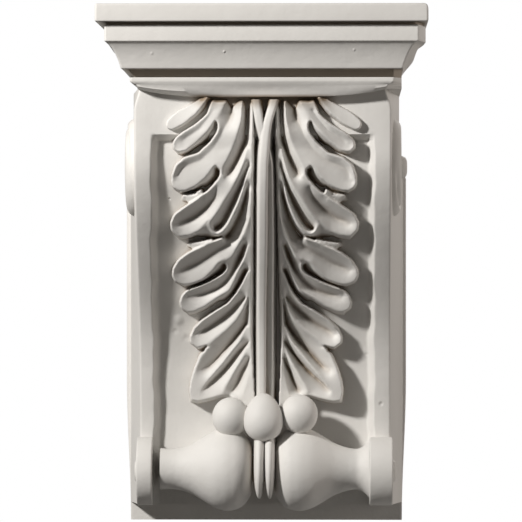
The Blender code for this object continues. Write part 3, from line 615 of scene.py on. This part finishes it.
def drawn_line(points, heights, step=0.25, window=9):
    """A line of (x, z, height) through the points every quarter millimetre. The heights are spread
    evenly over its length, and two running means round its corners."""
    points = np.array(points, float)
    reach = np.concatenate([[0], np.cumsum(np.linalg.norm(np.diff(points, axis=0), axis=1))])
    along = np.arange(0, reach[-1] + step, step)
    share = along / reach[-1]
    line = np.stack([
        np.interp(along, reach, points[:, 0]), np.interp(along, reach, points[:, 1]),
        np.interp(share, np.linspace(0, 1, len(heights)), heights)], axis=1)
    for _ in range(2):
        padded = np.pad(line, ((window // 2, window // 2), (0, 0)), mode="reflect", reflect_type="odd")
        total = np.cumsum(np.pad(padded, ((1, 0), (0, 0))), axis=0)
        line = (total[window:] - total[:-window]) / window
    return line


def beside(line, away):
    """The line moved sideways by a distance, to the left of its direction."""
    step = np.gradient(line[:, :2], axis=0)
    step /= np.maximum(np.linalg.norm(step, axis=1, keepdims=True), 1e-9)
    moved = line.copy()
    moved[:, 0] -= away * step[:, 1]
    moved[:, 1] += away * step[:, 0]
    return moved


def hold(grid, line, width=0.0):
    """Holds the grid's cells under a line, or under a band of a width, at the line's heights."""
    xs, zs, held, height = grid
    for away in np.arange(-width / 2, width / 2 + 0.01, LEAF_STEP / 2):
        moved = beside(line, away)
        columns = np.rint((moved[:, 0] - xs[0]) / LEAF_STEP).astype(int)
        rows = np.rint((moved[:, 1] - zs[0]) / LEAF_STEP).astype(int)
        within = (columns >= 0) & (columns < len(xs)) & (rows >= 0) & (rows < len(zs))
        held[rows[within], columns[within]] = True
        height[rows[within], columns[within]] = moved[within, 2]


def blocks(values, size):
    """Sums of a grid over square blocks, with the edges filled up by nothing."""
    rows, columns = values.shape
    padded = np.pad(values, ((0, -rows % size), (0, -columns % size)))
    return padded.reshape(padded.shape[0] // size, size, -1, size).sum(axis=(1, 3))


def skin(held, height):
    """A skin stretched over the held cells: every free cell becomes the mean of its four
    neighbours, again and again, on coarse grids first and then on finer ones."""
    guess = None
    for size, rounds in ((8, 80), (4, 80), (2, 120), (1, 260)):
        count = blocks(held.astype(float), size)
        fixed = count > 0
        value = blocks(np.where(held, height, 0.0), size) / np.maximum(count, 1)
        if guess is None:
            guess = np.full(fixed.shape, value[fixed].mean())
        else:
            guess = np.repeat(np.repeat(guess, 2, axis=0), 2, axis=1)[:fixed.shape[0], :fixed.shape[1]]
        for _ in range(rounds):
            guess = np.where(fixed, value, guess)
            around = np.pad(guess, 1, mode="edge")
            guess = (around[:-2, 1:-1] + around[2:, 1:-1] + around[1:-1, :-2] + around[1:-1, 2:]) / 4
        guess = np.where(fixed, value, guess)
    return guess


def blur(values, reach):
    """Mean over a square of the given half width in cells, by sums along one axis and the other."""
    for axis in (0, 1):
        spread = np.pad(values, [(reach + 1, reach) if k == axis else (0, 0) for k in (0, 1)], mode="edge")
        total = np.cumsum(spread, axis=axis)
        size = 2 * reach + 1
        ends = np.take(total, range(size, total.shape[axis]), axis=axis)
        starts = np.take(total, range(total.shape[axis] - size), axis=axis)
        values = (ends - starts) / size
    return values


def relief_piece(name, xs, zs, height, side=1, extra_shade=0.0):
    """A height field over the sunk panel as a closed piece: each row is closed behind the panel.
    Its painted shade is its depth below its own mean round about, plus the extra shade given."""
    height = np.maximum(height, -BURY)
    forward = panel_forward(zs)[:, None] + height
    # Painted shade: cells lower than their surroundings, in creases and hollows, are darkened as if shaded.
    around = blur(blur(forward, CAVITY_SHADE_REACH), CAVITY_SHADE_REACH)
    painted_shade = np.clip((around - forward) / CAVITY_SHADE_DEPTH + extra_shade, 0, 1)
    back = panel_forward(zs)[:, None] - BURY - 1.5
    forward = np.concatenate([forward, back, back], axis=1)
    painted_shade = np.concatenate([painted_shade, painted_shade[:, -1:], painted_shade[:, :1]], axis=1)
    rows = np.concatenate([xs, [xs[-1], xs[0]]])
    rings = np.stack([
        side * np.broadcast_to(rows, forward.shape), forward,
        np.broadcast_to(zs[:, None], forward.shape)], axis=-1)
    return tube_piece(name, rings, sharp_angle=2.0, painted_shade=painted_shade)


def hold_walls(grid):
    """Holds the feet of the leaf's walls. Beside a rim the foot lies a short draft away: as high as
    the slot at the rim's root, it eases down into the panel over the first share of its length.
    Along the free share of an underside it lies in the panel, a longer draft away."""
    for heights, slot, width, points in RIMS.values():
        foot = beside(drawn_line(points, heights), RIM_DRAFT + width / 2)
        share = np.linspace(0, 1, len(foot))
        foot[:, 2] = -BURY + (slot + BURY) * ease(1 - share / SLOT_SHARE)
        hold(grid, foot)
    for heights, open_share, points in UNDERSIDES.values():
        line = drawn_line(points, heights)
        foot = beside(line, UNDERSIDE_DRAFT)[:int(len(line) * open_share)]
        foot[:, 2] = -BURY
        hold(grid, foot)


def hold_lines(grid, deeper):
    """Holds the leaf's drawn lines, the creases first, lower by a length near the leaf's end and by
    half of it above, and then the ridges, undersides and rims over them. Gives back a grid that
    is one where a narrow crease ends."""
    xs, zs, held, height = grid
    ends = (xs, zs, held.copy(), np.zeros(held.shape))
    for heights, width, points in CREASES.values():
        line = drawn_line(points, heights)
        if width == 0:
            last = line[-CREASE_END_POINTS:].copy()
            last[:, 2] = 1
            hold(ends, last)
        line[:, 2] -= deeper * (0.5 + 0.5 * ease((DEEPER_BELOW - line[:, 1]) / 20))
        hold(grid, line, width)
    for heights, width, points in RIDGES.values():
        hold(grid, drawn_line(points, heights), width)
    for heights, _, points in UNDERSIDES.values():
        hold(grid, drawn_line(points, heights), 1.0)
    for heights, _, width, points in RIMS.values():
        hold(grid, drawn_line(points, heights), width)
    return ends[3]


def leaf_field(deeper, end_lift):
    """Height of a half leaf over the panel: a skin stretched over its held walls and lines, with the
    creases' ends eased into it by a running mean. The leaf's top and its end stand off further,
    and at the knuckle, higher at the outside and lower over creases, it falls behind the cap."""
    xs = np.arange(LEAF_INNER, LEAF_OUTER, LEAF_STEP)
    zs = np.arange(LEAF_FOOT, LEAF_TOP + LEAF_TOP_OVERLAP, LEAF_STEP)
    held = np.zeros((len(zs), len(xs)), bool)
    height = np.zeros(held.shape)
    grid = (xs, zs, held, height)
    held[:, -1] = held[0] = True
    held[-1, xs > TOP_SUNK_BEYOND] = True
    height[held] = -BURY
    hold_walls(grid)
    crease_ends = hold_lines(grid, deeper)
    height = skin(held, height)
    x, z = np.meshgrid(xs, zs)
    share = np.clip(CREASE_END_BLEND * blur(blur(crease_ends, 4), 4), 0, 1)
    height = height + share * (blur(blur(height, 4), 4) - height)
    knuckle = KNUCKLE + KNUCKLE_OUTER_RISE * ease((x - 30) / 8) - 0.7 * np.clip(13 - height, 0, 6)
    lift = TOP_LIFT * ease((z - TOP_LIFT_FROM) / 14) + end_lift * ease((END_LIFT_BELOW - z) / 30)
    rise = height * (LEAF_RELIEF - 1) + lift
    height = height + np.clip(height / 4, 0, 1) * rise - KNUCKLE_FALL * ease((z - knuckle) / 3.5)
    return xs, zs, blur(height, 1)


def leaf_piece(side):
    """A half leaf beside the stem. The right one is stretched a little, with its inner margin moved
    outward. Its creases near the top and its edge under the cap carry painted shade."""
    right = side > 0
    xs, zs, height = leaf_field(RIGHT_LEAF_DEEPER if right else 0.0, END_LIFT[right])
    columns = xs
    if right:
        columns = RIGHT_LEAF_STRETCH * xs + RIGHT_MARGIN_SHIFT * ease((RIGHT_MARGIN_WITHIN - xs) / 16)
    z = zs[:, None]
    # Painted shade on the low parts near the top and on the edge under the cap, which lie in the cap's
    # shadow.
    creases = ease((z - LEAF_SHADE_FROM) / 14) * ease((14 - height) / 5)
    extra_shade = ease((z - LEAF_EDGE_SHADE_FROM) / 3) + creases
    name = "acanthus_right" if right else "acanthus_left"
    return relief_piece(name, columns, zs, height, side, extra_shade)


def stem_piece():
    """Two strands carried up the panel along their middles: the higher of two blunt arches across,
    each tilted a little, with walls that fall steeply beside it. The right of the foot and the
    hollows of the top carry painted shade."""
    xs = np.arange(STEM_SIDES[0], STEM_SIDES[1] + 0.01, STEM_STEP)
    zs = np.arange(LEAF_FOOT, LEAF_TOP, STEM_STEP)
    x, z = np.meshgrid(xs, zs)
    height = np.full(x.shape, -BURY)
    for values in zip(STRAND_MIDDLES, STRAND_RADII, STRAND_STAND_OFFS):
        middle, radius, stand_off = (
            blur(np.interp(z, STRAND_LEVELS, value), STRAND_SMOOTHING) for value in values)
        away = np.abs(x - middle)
        share = np.clip(away / radius, 0, 1)
        arch = stand_off - radius * (1 - (1 - share ** STRAND_BLUNTNESS) ** (1 / STRAND_BLUNTNESS))
        arch = arch + STRAND_TILT * (x - middle)
        height = np.maximum(height, arch - STRAND_DRAFT * np.maximum(away - radius, 0))
    # Painted shade: the right strand at the foot lies in the left one's shadow, and the top's hollows under
    # the cap.
    foot = ease((STEM_FOOT_SHADE_BELOW - z) / 30) * ease((x - 0.5) / 2)
    top = ease((z - STEM_TOP_SHADE_FROM) / 9) * ease((18.5 - height) / 2)
    return relief_piece("stem", xs, zs, height, extra_shade=STEM_PAINTED_SHADE * np.maximum(foot, top))


def turned_rings(profile, centre, sides=72):
    """A profile of (x, radius) turned about a line along X through (forward, z)."""
    turn = np.linspace(0, 2 * np.pi, sides, endpoint=False)
    profile = np.asarray(profile, float)
    x, radius = profile[:, :1], profile[:, 1:2]
    forward = centre[0] + radius * np.cos(turn)
    height = centre[1] + radius * np.sin(turn)
    return np.stack([x + 0 * turn, forward, height], axis=-1)


def roll_piece(side):
    """A roll of the scroll: its swell, as shares of the radius over the neck along its length, is
    smoothed by a running mean and turned about its axis. Its mouth flares by a square."""
    fine = np.linspace(0, 1, 90) ** 1.3
    curve = np.interp(fine, ROLL_STATIONS, ROLL_SWELL)
    smooth = np.convolve(np.pad(curve, 4, mode="edge"), np.ones(9) / 9, mode="valid")
    curve = np.where(fine < 0.05, curve, smooth)
    radii = NECK_RADIUS + curve * (ROLL_RADIUS - NECK_RADIUS)
    mouth = np.clip((fine - MOUTH_FLARE_START) / (1 - MOUTH_FLARE_START), 0, 1)
    radii += MOUTH_FLARE[side > 0] * mouth ** 2
    radii[0] = 0.3 * ROLL_RADIUS
    start = TIE_HALF_WIDTH - (TIE_RIGHT_SHIFT if side > 0 else 0)
    xs = side * (start + fine * (ROLL_HALF_LENGTH - start))
    name = "roll_right" if side > 0 else "roll_left"
    return tube_piece(name, turned_rings(np.stack([xs, radii], axis=1), (ROLL_FRONT, ROLL_Z)))


def disk_piece(side):
    """A disk at an end of the scroll, with rounded edges and a round eye on its outer face."""
    outer = BODY_HALF_WIDTH + DISK_OVERHANG
    inner = outer - DISK_WIDTH if side < 0 else ROLL_HALF_LENGTH
    radius = SCROLL_RADIUS
    edge = [(inner, radius - 4), (inner, radius), (outer, radius), (outer, radius - 4)]
    eye = BODY_HALF_WIDTH + LOWER_EYE_REACH
    edge += [(outer, LOWER_EYE_RADIUS + 1), (eye - 1, LOWER_EYE_RADIUS), (eye, 1.0)]
    profile = rounded(edge, [0, 1.2, 1.2, 0, 1.0, 2.0, 0])
    name = "disk_right" if side > 0 else "disk_left"
    rings = turned_rings(profile * (side, 1), (SCROLL_FORWARD, SCROLL_CENTRE_Z))
    return tube_piece(name, rings)


def drop_piece(side):
    """A slim drop laid over the tie from under the berries down: ellipses along a circle's arc,
    full for more than a third of its length and then slimmer by a cube, with painted shade behind."""
    down = np.linspace(0, 1, 48)[:, None]
    turn = np.linspace(0, 2 * np.pi, 28, endpoint=False)
    width = DROP_RADIUS * DROP_FULLNESS * np.sqrt(1.01 - np.clip(1.6 * down - 0.6, 0, 1) ** 3)
    height = ROLL_Z + DROP_LENGTH * (DROP_SHARE_ABOVE_ROLL - down)
    wrap = ROLL_RADIUS - DROP_RADIUS
    lean = ROLL_FRONT + np.sqrt(wrap ** 2 - (height - ROLL_Z).clip(-22, 22) ** 2)
    x = side * DROP_SPACING / 2 + width * np.cos(turn)
    forward = lean + DROP_THICKNESS * width * (np.sin(turn) - DROP_SUNK_SHARE)
    name = "drop_right" if side > 0 else "drop_left"
    # Painted shade on the drop's back, between it and the tie.
    extra_shade = np.clip(0.55 - np.sin(turn), 0, 1) + 0 * down
    return tube_piece(name, np.stack([x, forward, height + 0 * turn], axis=-1), painted_shade=extra_shade)


def berry_piece(name, centre, half, egg=0.0):
    """An ellipsoid by its angles of height and turn; egg makes it wider below and slimmer above."""
    lift = np.linspace(-0.495, 0.495, 34)[:, None] * np.pi
    turn = np.linspace(0, 2 * np.pi, 48, endpoint=False)
    wide = np.cos(lift) * (1 - egg * np.sin(lift)) / (1 + egg ** 2 / 4)
    points = np.stack([
        centre[0] + half[0] * wide * np.cos(turn),
        centre[1] + half[1] * wide * np.sin(turn),
        centre[2] + half[2] * np.sin(lift) + 0 * turn], axis=-1)
    return tube_piece(name, points)


def volute_piece(side):
    """A rounded disc with a domed eye on the side wall, with a spiral groove: the groove's middle is
    where the logarithm of the radius plus the turn makes whole turns. It fades out at the eye and
    at the disc's edge."""
    radius = np.concatenate([np.linspace(VOLUTE_RADIUS, EYE_RADIUS + 1, 60), np.linspace(EYE_RADIUS, 1, 8)])
    turn = np.linspace(0, 2 * np.pi, 120, endpoint=False)
    face = BODY_HALF_WIDTH + VOLUTE_REACH
    edge = np.clip((radius - (VOLUTE_RADIUS - VOLUTE_REACH)) / VOLUTE_REACH, 0, 1)
    disc = BODY_HALF_WIDTH + VOLUTE_REACH * np.sqrt(1 - edge ** 2)
    dome = np.sqrt(np.clip(1 - (radius / EYE_RADIUS) ** 4, 0, 1))
    eye = face + (EYE_REACH[side > 0] - VOLUTE_REACH) * dome
    out = np.where(radius <= EYE_RADIUS, eye, disc)[:, None]
    radius = radius[:, None]
    pitch = np.log(VOLUTE_RADIUS / EYE_RADIUS) / GROOVE_TURNS
    phase = np.log(VOLUTE_RADIUS / radius) / pitch + side * turn / (2 * np.pi)
    groove = np.abs(phase - np.round(phase)) * pitch * radius
    share = np.clip(1 - groove / GROOVE_HALF_WIDTH, 0, 1) ** 2
    share = share * ease((radius - EYE_RADIUS - 1) / 3) * ease((VOLUTE_RADIUS - radius) / 3)
    base = np.full((1, len(turn)), side * (BODY_HALF_WIDTH - PANEL_SLOPE))
    x = np.concatenate([base, side * (out - GROOVE_DEPTH * share)])
    radius = np.concatenate([[[VOLUTE_RADIUS]], radius])
    forward = BODY_FRONT - VOLUTE_BEHIND_FACE + radius * np.cos(turn)
    height = CAP_BOTTOM - VOLUTE_BELOW_CAP + radius * np.sin(turn)
    name = "volute_right" if side > 0 else "volute_left"
    return tube_piece(name, np.stack([x, forward, height], axis=-1))


def linear(code):
    """A colour written as hex, turned to the linear values that a shader takes."""
    values = [int(code[i:i + 2], 16) / 255 for i in (0, 2, 4)]
    return (*[v / 12.92 if v <= 0.04045 else ((v + 0.055) / 1.055) ** 2.4 for v in values], 1.0)


def add_node(tree, kind, settings=(), inputs=()):
    """A shader node with its settings, and its inputs set to values or linked to outputs."""
    node = tree.nodes.new(kind)
    for key, value in dict(settings).items():
        setattr(node, key, value)
    for key, value in dict(inputs).items():
        if isinstance(value, bpy.types.NodeSocket):
            tree.links.new(value, node.inputs[key])
        else:
            node.inputs[key].default_value = value
    return node


def pattern_scale(width):
    """The scale of a noise whose marks are about a width in millimetres: one over the width."""
    return 1 / (width * MM)


def under_cap_shade_band(tree, parts, cloud):
    """Clouded painted shade under the cap, near the leaves' tops: the cloud times an eased mask for
    each limit of height and for the distance from the middle."""
    aside = add_node(tree, "ShaderNodeMath", {"operation": "ABSOLUTE"}, {0: parts["X"]}).outputs[0]
    bottom, top = ([(z - HEIGHT / 2) * MM for z in pair] for pair in (SHADE_BAND_BOTTOM, SHADE_BAND_TOP))
    width = [x * MM for x in SHADE_BAND_HALF_WIDTH]
    extra_shade = cloud
    for value, (start, end) in ((parts["Z"], bottom), (parts["Z"], top), (aside, width)):
        level = add_node(tree, "ShaderNodeMapRange", {"interpolation_type": "SMOOTHSTEP"},
                         {0: value, 1: start, 2: end})
        extra_shade = add_node(tree, "ShaderNodeMath", {"operation": "MULTIPLY"},
                         {0: extra_shade, 1: level.outputs[0]}).outputs[0]
    return extra_shade


def blemish_height(tree, parts):
    """The sum of the blemishes: each an eased hill or pit by the distance from its middle."""
    flat = add_node(tree, "ShaderNodeCombineXYZ", inputs={"X": parts["X"], "Z": parts["Z"]})
    total = 0.0
    for x, z, radius, rise in BLEMISHES:
        away = add_node(tree, "ShaderNodeVectorMath", {"operation": "DISTANCE"},
                        {0: flat.outputs[0], 1: (x * MM, 0.0, (z - HEIGHT / 2) * MM)})
        level = add_node(tree, "ShaderNodeMapRange", {"interpolation_type": "SMOOTHSTEP"},
                         {0: away.outputs["Value"], 1: radius * MM, 2: 0.0, 4: rise})
        total = add_node(tree, "ShaderNodeMath", {"operation": "ADD"},
                         {0: total, 1: level.outputs[0]}).outputs[0]
    return total


def casting_material():
    """Matt off-white primer rolled over a cast polyurethane body: a soft sheen, a faint cloud in its
    white, and painted shade in warm brown where the shade attribute and the band under the cap say."""
    material = bpy.data.materials.new("primed_polyurethane_casting")
    material.use_nodes = True
    tree = material.node_tree
    shader = tree.nodes["Principled BSDF"]
    place = add_node(tree, "ShaderNodeTexCoord").outputs["Object"]
    parts = add_node(tree, "ShaderNodeSeparateXYZ", inputs={"Vector": place}).outputs
    # The pieces' painted shade, read from their point attribute.
    painted_shade = add_node(tree, "ShaderNodeAttribute", {"attribute_name": "painted_shade"}).outputs["Fac"]
    cloud = add_node(tree, "ShaderNodeTexNoise", inputs={
        "Vector": place, "Scale": pattern_scale(CLOUD_WIDTH), "Detail": 4.0}).outputs["Fac"]
    # The roller's grain is under a millimetre, too fine to show, so it is drawn coarser.
    grain = add_node(tree, "ShaderNodeTexNoise", inputs={
        "Vector": place, "Scale": pattern_scale(GRAIN_WIDTH), "Detail": 3.0}).outputs["Fac"]
    mask_start, mask_end = (-forward * MM for forward in FRONT_MASK)
    front = add_node(tree, "ShaderNodeMapRange", {"interpolation_type": "SMOOTHSTEP"},
                     {0: parts["Y"], 1: mask_start, 2: mask_end}).outputs[0]

    base = add_node(tree, "ShaderNodeMix", {"data_type": "RGBA"}, {
        0: cloud, 6: linear("dcdad6"), 7: linear("e4e2df")})
    # The band of painted shade under the cap, kept to the front.
    band = add_node(tree, "ShaderNodeMath", {"operation": "MULTIPLY"}, {
        0: under_cap_shade_band(tree, parts, cloud), 1: front})
    shade = add_node(tree, "ShaderNodeMath", {"operation": "MULTIPLY_ADD", "use_clamp": True},
                     {0: band.outputs[0], 1: SHADE_BAND_STRENGTH, 2: painted_shade})
    # Painted shade: the white is mixed toward warm brown by the shade attribute and the band under the cap.
    tint = add_node(tree, "ShaderNodeMix", {"data_type": "RGBA"}, {
        0: shade.outputs[0], 6: base.outputs[2], 7: linear("8f7f6c")})
    tree.links.new(tint.outputs[2], shader.inputs["Base Color"])
    rough = add_node(tree, "ShaderNodeMapRange", inputs={0: grain, 3: 0.55, 4: 0.72})
    tree.links.new(rough.outputs[0], shader.inputs["Roughness"])

    swell = add_node(tree, "ShaderNodeTexNoise", inputs={
        "Vector": place, "Scale": pattern_scale(SWELL_WIDTH), "Detail": 2.0}).outputs["Fac"]
    wave = add_node(tree, "ShaderNodeTexNoise", inputs={
        "Vector": place, "Scale": pattern_scale(WAVE_WIDTH), "Detail": 1.0}).outputs["Fac"]
    marks = add_node(tree, "ShaderNodeMath", {"operation": "MULTIPLY"}, {
        0: blemish_height(tree, parts), 1: front}).outputs[0]
    normal = None
    for height, distance, strength in (
            (swell, 0.0006, 0.5), (grain, 0.00025, 0.4), (wave, 0.002, 0.4), (marks, 0.001, 1.0)):
        inputs = {"Height": height, "Distance": distance, "Strength": strength}
        if normal is not None:
            inputs["Normal"] = normal
        normal = add_node(tree, "ShaderNodeBump", inputs=inputs).outputs["Normal"]
    tree.links.new(normal, shader.inputs["Normal"])
    return material


def floor_material():
    """Plain pale studio floor."""
    material = bpy.data.materials.new("matt_white_studio_floor")
    material.use_nodes = True
    shader = material.node_tree.nodes["Principled BSDF"]
    shader.inputs["Base Color"].default_value = linear("cfcfce")
    shader.inputs["Roughness"].default_value = 0.9
    return material


def add_lamp(kind, name, toward, distance, power, colour, **settings):
    """A soft light at a distance from its aim in the object, turned to it."""
    light = bpy.data.lights.new(name, kind)
    light.energy = power
    light.color = linear(colour)[:3]
    for key, value in settings.items():
        setattr(light, key, value)
    lamp = bpy.data.objects.new(name, light)
    direction = Vector(toward).normalized()
    lamp.location = Vector(LIGHT_AIM) + direction * distance
    lamp.rotation_euler = direction.to_track_quat("Z", "Y").to_euler()
    bpy.context.scene.collection.objects.link(lamp)


def studio():
    """Floor, a key light from the upper left, weak fills from the right and behind, pale
    surroundings and the camera."""
    floor_mesh = bpy.data.meshes.new("floor")
    side = FLOOR_HALF_WIDTH
    corners = [(-side, -side), (side, -side), (side, FLOOR_BACK), (-side, FLOOR_BACK)]
    floor_mesh.from_pydata([(*corner, FLOOR_LEVEL) for corner in corners], [], [(0, 1, 2, 3)])
    floor = bpy.data.objects.new("floor", floor_mesh)
    floor_mesh.materials.append(floor_material())
    bpy.context.scene.collection.objects.link(floor)

    add_lamp("SPOT", "key", (-0.72, -0.69, 0.50), 1.5, 100.0, "fffcf8",
             spot_size=0.40, spot_blend=0.1, shadow_soft_size=0.075)
    add_lamp("AREA", "right_fill", (1.0, -0.12, 0.12), 1.3, 1.1, "fff6ee",
             shape="DISK", size=0.9, spread=1.2)
    add_lamp("AREA", "back_fill", (0.3, 0.9, 0.5), 1.6, 1.5, "fffaf5",
             shape="DISK", size=1.2, spread=1.2)

    world = bpy.data.worlds.new("studio")
    bpy.context.scene.world = world
    world.use_nodes = True
    tree = world.node_tree
    tree.nodes.clear()
    seen = add_node(tree, "ShaderNodeLightPath").outputs["Is Camera Ray"]
    ambient = add_node(tree, "ShaderNodeBackground", inputs={"Color": linear("fbf6f0"), "Strength": 0.06})
    white = add_node(tree, "ShaderNodeBackground", inputs={"Color": (1, 1, 1, 1), "Strength": 1.0})
    both = add_node(tree, "ShaderNodeMixShader", inputs={
        0: seen, 1: ambient.outputs[0], 2: white.outputs[0]})
    add_node(tree, "ShaderNodeOutputWorld", inputs={"Surface": both.outputs[0]})

    lens = bpy.data.cameras.new("camera")
    lens.sensor_width = 36.0
    lens.lens = LENS
    lens.shift_x = SHIFT_PIXELS / PICTURE_WIDTH
    lens.clip_start, lens.clip_end = 0.1, 20.0
    camera = bpy.data.objects.new("camera", lens)
    camera.location = CAMERA_PLACE
    aim = Vector(CAMERA_AIM) - camera.location
    camera.rotation_euler = aim.to_track_quat("-Z", "Y").to_euler()
    bpy.context.scene.collection.objects.link(camera)
    bpy.context.scene.camera = camera
    bpy.context.scene.view_settings.view_transform = "Standard"


def berries():
    """A middle berry, longer than it is wide, between two that are a little taller than wide."""
    forward = SCROLL_FORWARD + BERRY_FORWARD_OF_SCROLL
    ball = (BERRY_RADIUS, BERRY_RADIUS, BERRY_RADIUS * BERRY_FULLNESS)
    left, right = BERRY_SHIFT - BERRY_SPACING + LEFT_BERRY_INWARD, BERRY_SHIFT + BERRY_SPACING
    middle = (MIDDLE_BERRY_HALF_WIDTH, MIDDLE_BERRY_HALF_WIDTH, MIDDLE_BERRY_HALF_HEIGHT)
    return [
        berry_piece("berry_left", (left, forward, BERRY_Z), ball),
        berry_piece("berry_right", (right, forward, BERRY_Z + RIGHT_BERRY_LIFT), ball),
        berry_piece("berry_middle", (BERRY_SHIFT, forward + MIDDLE_BERRY_FORWARD, BERRY_Z), middle,
                    MIDDLE_BERRY_EGG),
    ]


def tie_core_piece():
    """The tie's core between the two rolls: a cylinder dark all over with painted shade, that ends inside
    them.
    """
    reach = TIE_HALF_WIDTH * TIE_CORE_OVERLAP
    profile = [(-reach, 1), (-reach, TIE_CORE_RADIUS), (reach, TIE_CORE_RADIUS), (reach, 1)]
    rings = turned_rings(profile, (ROLL_FRONT, ROLL_Z), 48)
    # Painted shade: the whole core is darkened, as it sits deep between the rolls.
    return tube_piece("tie_core", rings, painted_shade=np.ones(rings.shape[:2]))


def main():
    """Builds the pieces, gives them their finish, and sets up light and camera."""
    pieces = [console_piece(), cap_piece(), stem_piece(), tie_core_piece(), *berries()]
    for side in (-1, 1):
        pieces += [leaf_piece(side), roll_piece(side), disk_piece(side), drop_piece(side),
                   volute_piece(side)]
    finish = casting_material()
    for piece in pieces:
        piece.data.materials.append(finish)
    studio()


main()
